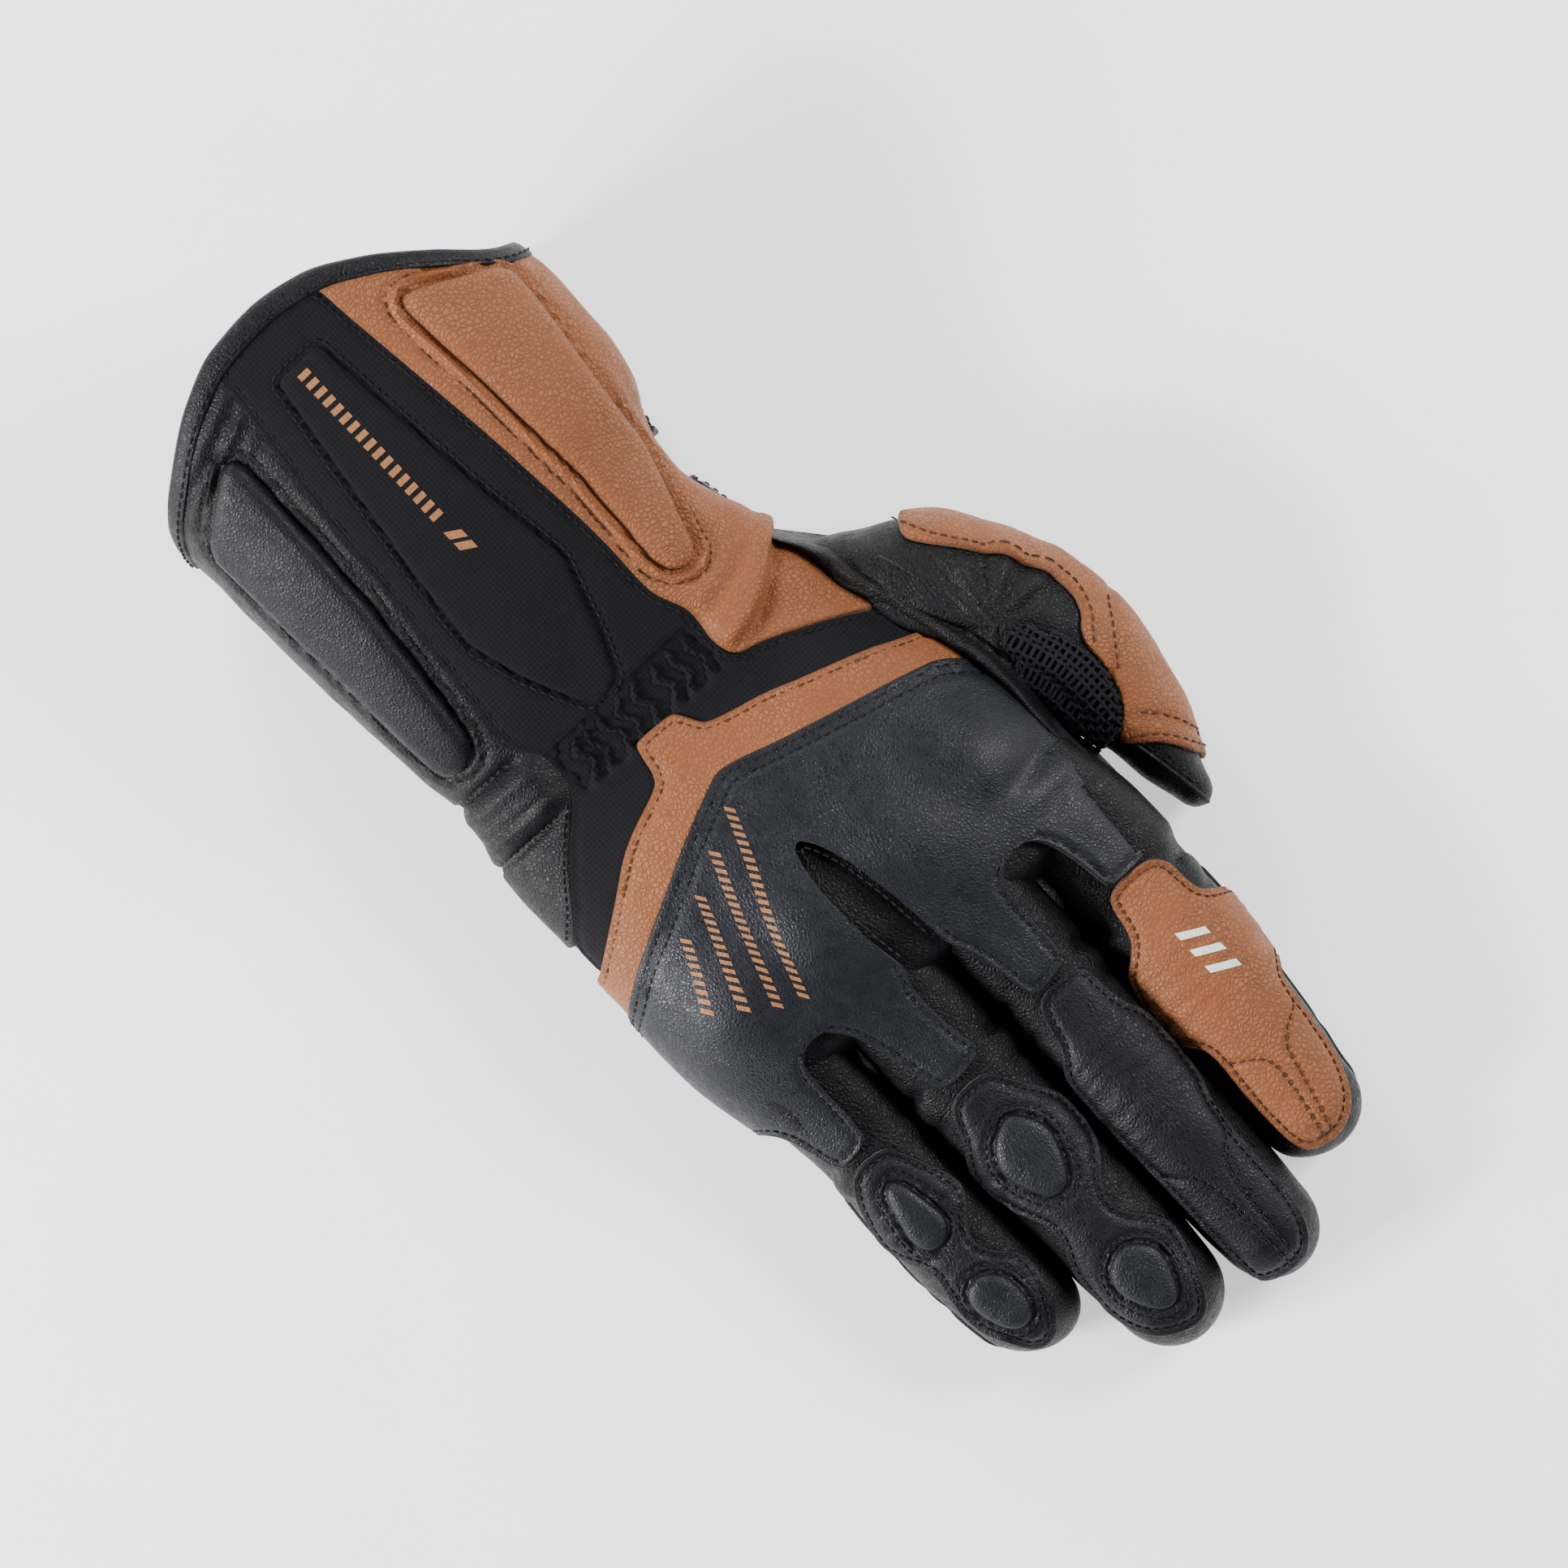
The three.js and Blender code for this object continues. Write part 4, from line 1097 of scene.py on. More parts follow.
def beside(skin, plan, by, times=2):
    """An open line drawn in plan, moved by mm to its left."""
    return parallel(open_line(skin, plan, times), by, False)


def joined(*lines):
    """One closed line of evenly spaced points, from lines and points one after the other."""
    return resample(np.vstack(lines), 1.0, True)


# ---- Cuff and hand ----

# Where the cuff's edge lies at its sides, and where the shell and the lining end.
CUFF_SIDE, SHELL_FRONT, LINING_FRONT = -147.5, 44.0, -66.0
SHELL_THICK = 1.5
# How far back the cuff's edge reaches, by y, over its top.
CUFF_ARC = [(-53.5, -148), (-51, -154), (-43, -161.5), (-30, -170.5), (-18, -175.2), (-5, -176.4),
            (8, -174.4), (20, -168.6), (33, -158.8), (44, -149), (47, -147.5)]


def cuff_edge(shares):
    """How far back the cuff reaches, by the share of the way round from its top."""
    rows = np.full(len(shares), -160.0)
    for _ in range(3):
        y = trunk.at(trunk.shared(rows, shares))[:, 1]
        top = smooth((0.53 - np.abs(shares)) / 0.06)
        rows = CUFF_SIDE + top * (table(CUFF_ARC, y)[:, 0] - CUFF_SIDE)
    return rows


def shell_outside(places):
    """Sunk a little under the panels, sloping down at the clefts between the fingers."""
    return -7.5 * smooth((places[:, 0] - 35) / 9)


def palm_creases(places):
    """The shell's outside, with soft lumps."""
    return shell_outside(places) + 0.35 * lumps(places, (11, 7, 7), 3, 21)


leather_shell = shell("glove_leather_shell", trunk, cuff_edge,
                      lambda shares: np.full(len(shares), SHELL_FRONT), palm_creases,
                      lambda places: shell_outside(places) - SHELL_THICK, BLACK)
follow(leather_shell, WRIST, ("cuff_palm_panel", "palm_panel"))
lining = shell("cuff_lining", trunk, lambda shares: cuff_edge(shares) + 1.0,
               lambda shares: np.full(len(shares), LINING_FRONT), lambda places: -SHELL_THICK - 0.2,
               lambda places: -2.7 + 0.25 * lumps(places, (14, 9, 9), 2, 22), LINING, 200, 2.0)
follow(lining, "cuff", ("cuff_liner",))


def edge_places(inset, shares):
    """Places at shares of the way round the cuff's opening, set in from its edge."""
    return trunk.shared(cuff_edge(shares) + inset, shares)


# The bound edge's section: the inset from the cuff's edge and the lift, round the band.
BINDING = [(0.0, -2.2), (-0.7, -1.4), (-0.9, -0.2), (-0.7, 1.0), (0.0, 1.8), (1.2, 2.15), (2.6, 2.1),
           (4.0, 2.2), (4.7, 2.05), (4.95, 1.6), (4.9, 0.4), (4.9, -2.4), (4.5, -3.1), (3.0, -3.2),
           (1.2, -3.0)]
shares = np.linspace(-1, 1, 360, endpoint=False)
piping = lofted("cuff_piping", [trunk.at(edge_places(inset, shares), lift) for inset, lift in BINDING],
                SMOOTH_BLACK, True)
follow(piping, "cuff", ("cuff_binding",))


# How far the back's panels stay in from the cuff's edge, over its top and at its sides.
PANEL_INSET, SIDE_INSET = 3.6, 3.4


class Loose:
    """A face at a fixed lift, for stitches that lie on no panel."""

    def __init__(self, skin, lift):
        self.skin, self.lift = skin, lift

    def height(self, places):
        return np.full(len(np.atleast_2d(places)), self.lift)


def back_edge(y_from, y_to, count):
    """Places along the cuff's edge, from one y to another."""
    y = np.linspace(y_from, y_to, count)
    return open_line(trunk, np.column_stack([table(CUFF_ARC, y)[:, 0] + PANEL_INSET, y]), 0)


def side_places(line, points):
    """Places on the side of the cuff or hand: for each (x, down), down mm below the outline line at x."""
    x, down = np.array(points, float).T
    return trunk.places(np.column_stack([x, table(line, x)[:, 0]])) + np.column_stack(
        [down * 0, down if line is THUMB_SIDE else -down])


def fold_over(places, line, width, height, drop):
    """A soft fold that rises towards a line in the row direction, and falls off steeply past it."""
    order = np.argsort(line[:, 1])
    edge = np.interp(places[:, 1], line[order, 1], line[order, 0])
    span = smooth((places[:, 1] - line[:, 1].min() + 4) / 8)
    span *= smooth((line[:, 1].max() + 6 - places[:, 1]) / 8)
    before = places[:, 0] - edge
    rise = hump(np.minimum(before + drop, 0), width)
    fall = smooth(-before / drop)
    return span * (height * rise * fall - 0.8 * hump(before - 1.0, 1.2))


TAN_FOLD = open_line(trunk, [(-60, 49), (-56, 43), (-50.5, 37), (-47, 30), (-45.6, 24), (-45.4, 19)])
TAN_FOLD_2 = open_line(trunk, [(-66, 44), (-61, 36), (-58.5, 30), (-57, 22)])
TAN_PAD = [(-155.6, 21), (-155, 25), (-146.5, 40.5), (-143, 42.8), (-136, 42.9), (-95, 37.6), (-70, 31.4),
           (-67.2, 29.4), (-67, 26.6), (-69.4, 23.4), (-74, 22.2), (-100, 23.2), (-125, 22), (-152, 19.8)]
OUTER_PAD = [(-155, -31.6), (-152.4, -30.2), (-110, -31), (-74, -34.8), (-69.6, -36.6), (-67.8, -40.6),
             (-69.4, -44), (-73, -45), (-110, -46.6), (-141, -48.4), (-145, -46.8), (-155, -34)]
CENTRE_PAD = [(-160.5, 0), (-110, 5), (-88, 8), (-70, 2.2), (-60.5, -1.5), (-58.4, -6), (-60.5, -10.6),
              (-75, -17), (-88, -20.6), (-110, -18.5), (-160.5, -12)]
tan_pad_line, outer_pad_line, centre_pad_line = (
    trunk.trace(resample(plan, 1.6, True), True, 3) for plan in (TAN_PAD, OUTER_PAD, CENTRE_PAD))
# How far out from each of these pads the stitches round it lie.
TAN_STITCHES, CENTRE_STITCHES, OUTER_STITCHES = 3.6, 1.7, 2.9


def wrinkled(amount, scale, seed, octaves=3):
    """A relief of soft lumps that fade out at the sheet's edge."""
    def relief(places, from_edge, skin):
        return amount * lumps(places, scale, octaves, seed) * smooth(from_edge / 4)

    return relief


def padded_panel(name, line, material, thick, round_edge, edge_share, pressure, limit):
    """A pad on the cuff, blown up as cloth."""
    pad = Panel(name, trunk, line, material, 0.5, thick, round_edge, 1.4, edge_share=edge_share)
    inflate(pad, pressure, limit)
    return pad


def tan_relief(places, from_edge, skin):
    """Soft leather with two folds where the cuff meets the thumb."""
    soft = 0.45 * lumps(places, (16, 10, 10), 3, 31) + 0.8 * lumps(places, (34, 12, 12), 2, 32)
    soft *= smooth((places[:, 1] - 30) / 12 + smooth((places[:, 0] + 72) / 8)) * smooth(from_edge / 5)
    folds = fold_over(places, TAN_FOLD, 9, 3.6, 2.6) + fold_over(places, TAN_FOLD_2, 5, 0.6, 3.0)
    return soft + folds * smooth(from_edge / 3)


tan_outline = joined(
    back_edge(8.5, 40, 10),
    edge_places(SIDE_INSET, np.linspace(0.40, 0.56, 5)),
    side_places(THUMB_SIDE, [(x, 15) for x in range(-140, -64, 6)]),
    side_places(THUMB_SIDE, [(-60, 10), (-54, 5), (-48, 2.5), (-40, 2), (-31, 1.5)]),
    open_line(trunk, [
        (-28.5, 55), (-30, 53), (-35, 45), (-40, 34.5), (-43, 28), (-44.4, 21.5), (-50, 19.6), (-56, 20.4),
        (-60, 20.6), (-66, 17.8), (-70, 16.8), (-85, 17.2), (-100, 16), (-120, 14.5), (-140, 12),
        (-160, 9.6)]))
tan_panel = Panel("tan_back_panel", trunk, tan_outline, [TAN, TAN_EDGE], 0.35, 1.3,
                  relief=tan_relief, grooves=[
                      (around(tan_pad_line, 0.5), True, 0.7, 1.1),
                      (around(tan_pad_line, 2.0), True, 0.8, -0.8),
                      (around(tan_pad_line, TAN_STITCHES), True, 0.7, 0.9)])
follow(tan_panel.obj, WRIST, ("cuff_thumb_panel", "hand_tan_gusset"))

pad = padded_panel("tan_cuff_pad", tan_pad_line, TAN, 3.0, 2.8, 0.3, 1.2, 0.9)
follow(pad.obj, WRIST, ("cuff_thumb_pad",))


def gathers(places, from_edge, skin):
    """The gathered stretch over the elastic at the wrist, and the textile's soft waves."""
    x, y = places.T
    zig = np.abs(((x + 51) / 7.5 + 0.25) % 1.0 - 0.5) * 2
    wander = lumps(places, (14, 9, 9), 2, 41)
    folds = np.sin(2 * math.pi * (y / 4.9 + 0.5 * zig + 0.5 * wander))
    across = smooth((x + 58) / 2.5) * smooth((-43.5 - x) / 3)
    along = smooth((y + 26) / 5) * smooth((19 - y) / 4)
    gathered = across * along * (2.3 * np.sign(folds) * np.abs(folds) ** 0.7 - 2.2)
    ruffle = 0.55 * hump(x + 44.5, 2.2) * along * (0.5 + 0.5 * folds)
    waves = 0.3 * lumps(places, (24, 12, 12), 2, 42) * smooth(from_edge / 6)
    return gathered + ruffle + waves - along * hump(x + 56.8, 1.0)


textile_outline = joined(
    back_edge(-20.5, 9.4, 12),
    open_line(trunk, [
        (-160, 10), (-140, 12.4), (-120, 14.9), (-100, 16.4), (-85, 17.4), (-70, 17), (-66, 18), (-60, 21),
        (-56, 20.6), (-50, 19.8), (-44.2, 21.2), (-42.6, 28), (-39.6, 34.5), (-34.6, 45), (-29.6, 53),
        (-27.6, 56), (-24, 57)]),
    open_line(trunk, [(-15, 57.4), (-10, 30), (-16, 4), (-12, -20), (0, -46)], 1),
    open_line(trunk, [
        (-14, -49), (-22, -49), (-27, -44), (-33, -40), (-40, -34), (-45, -28), (-50, -25.6), (-57, -25.4),
        (-61, -27.6), (-65, -30.2), (-75, -29.8), (-90, -28.2), (-110, -26.2), (-130, -25), (-150, -23),
        (-165, -21.2)]))
textile = Panel("textile_back_panel", trunk, textile_outline, TEXTILE, 0.45, 1.2, spacing=1.15,
                relief=gathers, sewn=(1.4,), grooves=[
                    (around(centre_pad_line, 0.3), True, 0.55, 1.0),
                    (around(centre_pad_line, CENTRE_STITCHES), True, 0.6, 0.35)])
follow(textile.obj, WRIST,
       ("cuff_centre_panel", "hand_back_panel", "wrist_gusset", "wrist_elastic"))

centre_pad = padded_panel("centre_cuff_pad", centre_pad_line, TEXTILE, 1.7, 0.9, 0.2, 0.7, 0.5)
follow(centre_pad.obj, WRIST, ("cuff_centre_pad",))


def outer_relief(places, from_edge, skin):
    """A padded pleat over the wrist's outer side, and leather that has creased round it."""
    x, y = places.T
    across = smooth((x + 61.5) / 3.5) * smooth((-45.5 - x) / 3) * smooth((y + 57) / 12)
    pleat = 3.0 * across * smooth((-24.5 - y) / 3)
    pleat += across * 0.2 * np.sin(2 * math.pi * (x / 4.2 + 0.25 * lumps(places, 14, 2, 51)))
    creases = -1.5 * hump(x + 61.8, 1.0) - 1.6 * hump(x + 45.2, 0.9)
    wavy = 2 * math.pi * (x + 0.35 * y) / 6.5 + 2.0 * lumps(places, (10, 24, 9), 2, 52)
    back = smooth((-150 - x) / 10) * 0.8 * np.sin(wavy)
    return ((pleat + creases * smooth((-24 - y) / 3)) * smooth(from_edge / 6) + back * smooth(from_edge / 3)
            + 0.4 * lumps(places, (14, 18, 9), 2, 53) * smooth(from_edge / 4))


outer_outline = joined(
    open_line(trunk, [
        (-170, -20.4), (-165, -20.6), (-150, -22.4), (-130, -24.4), (-110, -25.6), (-90, -27.6),
        (-75, -29.2), (-65, -29.6), (-60.6, -27), (-57, -25), (-50, -25.2), (-45.4, -27.6),
        (-40, -33.6), (-33, -39.6), (-27, -43.6), (-21, -49)]),
    side_places(LITTLE_SIDE, [(-22, 4), (-30, 10), (-44, 15)]),
    side_places(LITTLE_SIDE, [(x, 17) for x in range(-54, -146, -6)]),
    edge_places(SIDE_INSET, np.linspace(-0.56, -0.34, 7)),
    back_edge(-44, -22, 8))
outer_panel = Panel("outer_leather_panel", trunk, outer_outline, [BLACK, BLACK_EDGE],
                    0.35, 1.2, relief=outer_relief, grooves=[
                        (around(outer_pad_line, 0.4), True, 0.8, 1.1),
                        (around(outer_pad_line, 1.7), True, 0.7, -0.4),
                        (around(outer_pad_line, OUTER_STITCHES), True, 0.7, 0.9)])
follow(outer_panel.obj, WRIST, ("cuff_outer_panel", "hand_heel_panel"))

pad = padded_panel("outer_cuff_pad", outer_pad_line, SMOOTH_BLACK, 3.4, 2.6, 0.25, 1.2, 0.9)
follow(pad.obj, "cuff", ("cuff_outer_pad",))


def seated(lift):
    """An underside at the given lift, which comes down to the hand on its little-finger side."""
    return lambda places: lift - (lift - 0.2) * smooth((-places[:, 1] - 46) / 8)


# The chevron band's edge towards the cuff, then the one under the shield.
BAND = [(-18, 58), (-22, 50), (-25, 44), (-30, 30), (-34, 20), (-36, 12), (-38, 6.2), (-40, 5), (-44, 2.8),
        (-45, 1.8), (-45.6, -8), (-44.4, -9.2), (-36, -10.5), (-34, -14), (-31, -22), (-28, -28), (-22, -36),
        (-16, -44), (-12, -49.5)]
BAND_INSIDE = [(5, -54.5), (-1, -46), (-8, -30), (-14, -20), (-20, -6), (-22, 2), (-20, 12), (-14, 34),
               (-8, 54), (-3, 60.6)]
band_outline = joined(open_line(trunk, BAND + [(-10, -54.5)], 1), open_line(trunk, BAND_INSIDE, 1))
band = Panel("chevron_band", trunk, band_outline, [TAN, TAN_EDGE], 1.3, 1.3,
             relief=wrinkled(0.35, (12, 9, 9), 61, 2), sewn=(1.7,), under=seated(1.3))
follow(band.obj, "hand", ("hand_tan_band",))

# The knuckle shield's edge, the slit in its front, and the four tabs that go on over the fingers.
SHIELD_BACK = [(30, 62.8), (20, 62), (10, 61.2), (0, 60.6), (-5, 59.6), (-12, 54), (-14, 48), (-18, 35),
               (-22, 20), (-26, 8), (-27.6, 2), (-27.4, -1), (-24, -9), (-18, -22), (-10, -37), (-6, -44),
               (-1, -50), (4, -54), (15, -54.6), (30, -52.4)]
FRONT = 30.5
SLIT = [(FRONT, 12), (25, 11.6), (15, 10.5), (5, 8), (0, 6), (-3, 4.2), (-4, 2.8), (-2.6, 1), (2, 0),
        (10, -1.2), (20, -0.8), (FRONT, 1.2)]
TABS = {
    "index": [(FRONT, 62.8), (24, 60.4), (26, 59), (50.4, 58.6), (52, 57.6), (52, 48), (50.6, 47), (42, 46),
              (35, 44.2), (31.4, 41.4), (FRONT, 39.6)],
    "middle": [(FRONT, 34.6), (31.6, 32.8), (34, 31), (38, 30.2), (55.6, 30), (57.2, 29), (58.6, 20),
               (57.8, 18), (45, 16), (40, 14.6), (35, 12.2), (FRONT, 12)],
    "ring": [(FRONT, 1.2), (33, 1.6), (40, -0.8), (52, 0.2), (57.4, 1.6), (59, 0.6), (60.4, -6), (59.6, -11),
             (56, -12.2), (50, -13.6), (42, -15.4), (35, -18), (FRONT, -22)],
    "little": [(FRONT, -27.6), (33.6, -30), (37, -30.6), (54.4, -30.6), (56.4, -31.6), (57.4, -36),
               (56.6, -39.6), (50, -41.2), (43, -43), (38.6, -46), (34.6, -50), (FRONT, -51.8)],
}
SHIELD_LIFT, SHIELD_THICK = 2.1, 1.5
# How far each tab reaches back under the shield's front.
TAB_TUCK = 2.0
shield_edge = open_line(trunk, SHIELD_BACK)
shield_front = [
    open_line(trunk, plan, times) for plan, times in (
        ([(FRONT, -51.8), (FRONT, -27.6)], 0),
        ([(FRONT, -27.6), (29.8, -25), (FRONT, -22)], 1),
        ([(FRONT, -22), (FRONT, 1.2)], 0),
        (SLIT[::-1], 2),
        ([(FRONT, 12), (FRONT, 34.6)], 0),
        ([(FRONT, 34.6), (29.8, 37), (FRONT, 39.6)], 1),
        ([(FRONT, 39.6), (FRONT, 60)], 0))]


def unique_line(line, least=0.25):
    """The line without points that repeat the one before them."""
    keep = [line[0]]
    for p in line[1:]:
        if np.hypot(*(p - keep[-1])) > least:
            keep.append(p)
    if np.hypot(*(keep[-1] - keep[0])) < least:
        keep.pop()
    return np.array(keep)


def shield_relief(places, from_edge, skin):
    """A crease and a rise behind the index finger, and soft waves."""
    x, y = places.T
    crease = -1.5 * hump(x - 19 + 0.12 * (y - 44), 3.6) * hump(y - 48, 13)
    rise = 1.1 * hump(x - 27, 4.5) * hump(y - 54, 9)
    shape = crease + rise + 0.45 * lumps(places, (24, 14, 14), 2, 71)
    return shape * smooth((np.abs(x - FRONT) - 1) / 6) * smooth((from_edge - 3) / 6)


shield = Panel("knuckle_shield_leather", trunk, unique_line(np.vstack([shield_edge, *shield_front])),
               [SHIELD, BLACK_EDGE], SHIELD_LIFT, SHIELD_THICK, relief=shield_relief, edge=shield_edge,
               sewn=(1.7, 3.9), under=seated(SHIELD_LIFT),
               grooves=[(beside(trunk, SLIT, 1.5), False, 0.6, 0.45)])
follow(shield.obj, "hand", ("knuckle_shield",))
tabs = {}
for name, plan in TABS.items():
    edge = open_line(trunk, plan, 1)
    outline = unique_line(np.vstack([edge, edge[-1:] - (TAB_TUCK, 0), edge[:1] - (TAB_TUCK, 0)]))
    tabs[name] = Panel(f"{name}_shield_tab", trunk, resample(outline, 1.0, True), [SHIELD, BLACK_EDGE],
                       SHIELD_LIFT - 0.03, SHIELD_THICK, 0.8, 1.0, relief=shield_relief, edge=edge,
                       edge_share=0.6, sewn=(1.5,), under=seated(SHIELD_LIFT - 0.03))
    follow(tabs[name].obj, knuckle(name))


# ---- Fingers ----

# The outlines of the leather overlays, in plan.
OVERLAYS = {
    "index": [(52.6, 50), (52.6, 57), (55, 61.2), (65, 61.4), (68, 62.8), (70.5, 67), (72, 67.6), (86, 66.2),
              (90, 64.2), (95, 61.4), (110, 60), (120, 57.6), (126, 54), (128.6, 48), (127, 41.6),
              (123.6, 39.2), (110, 39), (95, 40.4), (92, 38), (88.4, 35.6), (71, 37.4), (68, 41), (64, 44.4),
              (56, 45.4), (53.6, 46.6)],
    "middle": [(59.4, 20), (60, 30), (62, 31), (72, 31.4), (76.6, 33.3), (80, 33.9), (97, 33.6), (103, 31.3),
               (112, 30.4), (130, 30), (138, 28.6), (143, 25), (144, 20), (142, 14), (138.6, 12),
               (120, 11.7), (104, 11.8), (97, 11.5), (80, 11.5), (76, 12.6), (72, 15.6), (62, 17.2)],
    "ring": [(63, -1), (70, 2.4), (75, 5.4), (80, 7.2), (90, 6.8), (95, 4.6), (100.6, 0.4), (104, -0.8),
             (108, -0.4), (112, 3), (117, 5.8), (125, 4.6), (132, 2), (137, -1), (138.4, -5), (136, -11),
             (132, -15), (125, -16.8), (118, -17.3), (110, -16.8), (105, -14.5), (100, -14), (95, -15.8),
             (90, -17.9), (82, -18.7), (77, -18), (72, -15), (66, -13.4), (62.8, -11)],
    "little": [(60, -31), (59.4, -37), (61, -40), (66, -42.4), (75, -44.3), (82, -43.8), (86, -42),
               (90, -40.6), (94, -41.4), (105, -42.3), (112, -39), (117, -36), (118.6, -32), (116, -28),
               (110, -25), (102, -23.4), (98, -24.6), (94, -28.4), (90, -29.8), (86, -28), (81, -24),
               (77, -23.4), (70, -25.5), (62, -28.6)],
}
# The outlines of the raised pads over the joints and near the tips.
PADS = {
    "ring_joint_pad": [(74, -5), (76, -2), (81, 0.3), (85, 0.2), (92, -2.5), (95.4, -5), (95.4, -9),
                       (93, -11), (85, -13.8), (81, -13.3), (76, -10)],
    "ring_tip_pad": [(113.6, -5), (117, -1), (121, 0.2), (128, -2), (131.6, -4.6), (131.4, -8), (128, -10.7),
                     (122, -12.8), (118, -12.4), (114.6, -10)],
    "little_joint_pad": [(67, -34), (69, -32.4), (76, -31), (82, -30.3), (86, -33.5), (85.6, -38),
                         (81, -39.8), (73, -38.2), (68, -36.6)],
    "little_tip_pad": [(96, -35.6), (98, -31), (102, -29.2), (109, -29.4), (112, -32), (111.4, -36),
                       (107, -38.4), (101, -39.4), (97.6, -38.4)],
}
# The stitched lines down the fingertips.
FLEX_LINES = {
    "index": [[(100, 59.8), (105, 52.6), (113, 51.2), (127, 47.4)],
              [(100, 41), (105, 48), (111, 48.4), (127, 45.4)]],
    "middle": [[(103, 31), (111, 29.8), (116, 23.2), (143, 22)],
               [(104, 12.4), (110, 13.2), (115, 19), (143, 20)]],
}
# How far the stitches lie in from an overlay's edge, and out from a pad.
EDGE_STITCHES, PAD_STITCHES = 1.6, 2.1
# Where each finger's root ends and its tube begins.
ROOT_END = 58.5
overlays = {}


def overlay_relief(name):
    """Fine cross creases over the joint."""
    joint = FINGERS[name]["joint"][0]
    seed = len(name) + 80.0

    def relief(places, from_edge, skin):
        lift = 0.12 * lumps(places, (12, 16, 9), 2, seed) * smooth(from_edge / 3)
        wave = np.sin(2 * math.pi * (places[:, 0] / 4.2 + 0.7 * lumps(places, 8, 2, seed + 1)))
        return lift + 0.1 * wave * hump(places[:, 0] - joint, 14) * smooth(from_edge / 2)

    return relief


for name, plan in OVERLAYS.items():
    skin = skins[name]
    joint = finger_joint(name)
    tan = name == "index"
    hides = [TAN, TAN_EDGE] if tan else [SMOOTH_BLACK, BLACK_EDGE]
    root = tube_piece(f"{name}_finger_root", skin, 20, ROOT_END, BLACK)
    follow(root, knuckle(name), (f"{name}_base",))
    tube = tube_piece(f"{name}_finger", skin, ROOT_END, skin.numbers[-1], BLACK)
    follow(tube, joint, (f"{name}_tip",))
    pads = {key: skin.trace(line, True, 3) for key, line in PADS.items() if key.startswith(name)}
    rings = [around(line, PAD_STITCHES) for line in pads.values()]
    flex_lines = [open_line(skin, line) for line in FLEX_LINES.get(name, ())]
    grooves = [(around(line, 0.35), True, 0.6, 1.0) for line in pads.values()]
    grooves += [(line, True, 0.6, 0.5) for line in rings]
    grooves += [(line, False, 0.65, 0.55) for line in flex_lines]
    overlay = Panel(f"{name}_overlay", skin, skin.trace(plan), hides, 0.45, 1.5, 0.7, spacing=0.85,
                    relief=overlay_relief(name), grooves=grooves, edge_share=0.62, sewn=(EDGE_STITCHES,))
    overlays[name] = overlay
    follow(overlay.obj, joint,
           (f"{name}_base_overlay", f"{name}_tip_overlay"))
    for key, line in pads.items():
        pad = Panel(f"{key}_cushion", skin, line, SHIELD, 0.5, 2.3, 1.9, 0.9, edge_share=0.35)
        inflate(pad, 1.2, 0.7)
        follow(pad.obj, joint, (key,))
    if name in ("index", "little"):
        run = np.arange(59.5, skin.numbers[-1] - 3, 0.9)
        share = 0.56 if name == "index" else -0.56
        ends = smooth((run - run[0]) / 5) * smooth((run[-1] - run) / 9)
        ridge = sweep(f"{name}_side_seam", skin.at(skin.shared(run, share), 0.8 * ends - 0.7),
                      0.15 + 0.5 * ends, BLACK)
        follow(ridge, joint)
    rows = [(overlay, line, True, SMALL) for line in (parallel(overlay.outline, EDGE_STITCHES), *rings)]
    rows += [(overlay, line, False, SMALL) for line in flex_lines]
    sew(f"{name}_overlay_stitches", joint, rows, BROWN_THREAD if tan else DARK_THREAD)


# The webs between the fingers: the y of each cleft.
for name, y in (("index_middle", 36.8), ("middle_ring", 9.5), ("ring_little", -19.3)):
    rings = []
    for x in np.linspace(34, 60, 27):
        deep = smooth((x - 43) / 14)
        middle, across, up = 20.5 - 7.5 * deep, 3.6 - 2.3 * deep, 13 - 9 * deep
        turns = np.linspace(0, 2 * math.pi, 20, endpoint=False)
        rough = np.array([0.4 * noise.noise(Vector((x / 5, y, t))) for t in turns])
        rings.append(np.column_stack([x + 1.5 * np.cos(2 * turns), y + across * np.sin(turns),
                                      middle + up * np.cos(turns) + rough]))
    follow(lofted(f"{name}_web", rings, BLACK), "hand")


# ---- Thumb ----

# Where the thumb's root ends and its end begins, along its middle.
THUMB_SPLIT = 74.0
thumb_root = tube_piece("thumb_root", thumb, 0.0, THUMB_SPLIT, BLACK, 140)
follow(thumb_root, THUMB_ROOT, ("thumb_base_back", "thumb_base_palm"))
thumb_end = tube_piece("thumb_end", thumb, THUMB_SPLIT, thumb.numbers[-1], BLACK, 140)
follow(thumb_end, THUMB_JOINT, ("thumb_tip",))

THUMB_OVERLAY = [(-44, 72), (-37, 82), (-28, 91), (-16, 98), (0, 104), (16, 104), (34, 98), (46, 90),
                 (44.6, 83.4), (36.6, 80.4), (31, 74), (28.4, 73), (25, 78), (20, 80.6), (15, 81.6),
                 (8.4, 81.6), (5, 83), (2, 86), (-3, 87.4), (-10, 86.2), (-20, 81.6), (-27, 75.8), (-33, 71),
                 (-38.4, 67)]
thumb_overlay = Panel("thumb_overlay", thumb, thumb.trace(THUMB_OVERLAY), [TAN, TAN_EDGE], 0.35, 1.5,
                      relief=wrinkled(0.4, (13, 9, 9), 91),
                      grooves=[(open_line(thumb, line), False, 0.9, 0.6) for line in (
                          [(-1, 95), (3, 92.5), (10, 89), (17, 81.6)],
                          [(27, 78.6), (33, 84.4), (41, 86)])])
follow(thumb_overlay.obj, THUMB_JOINT, ("thumb_base_overlay", "thumb_tip_overlay"))

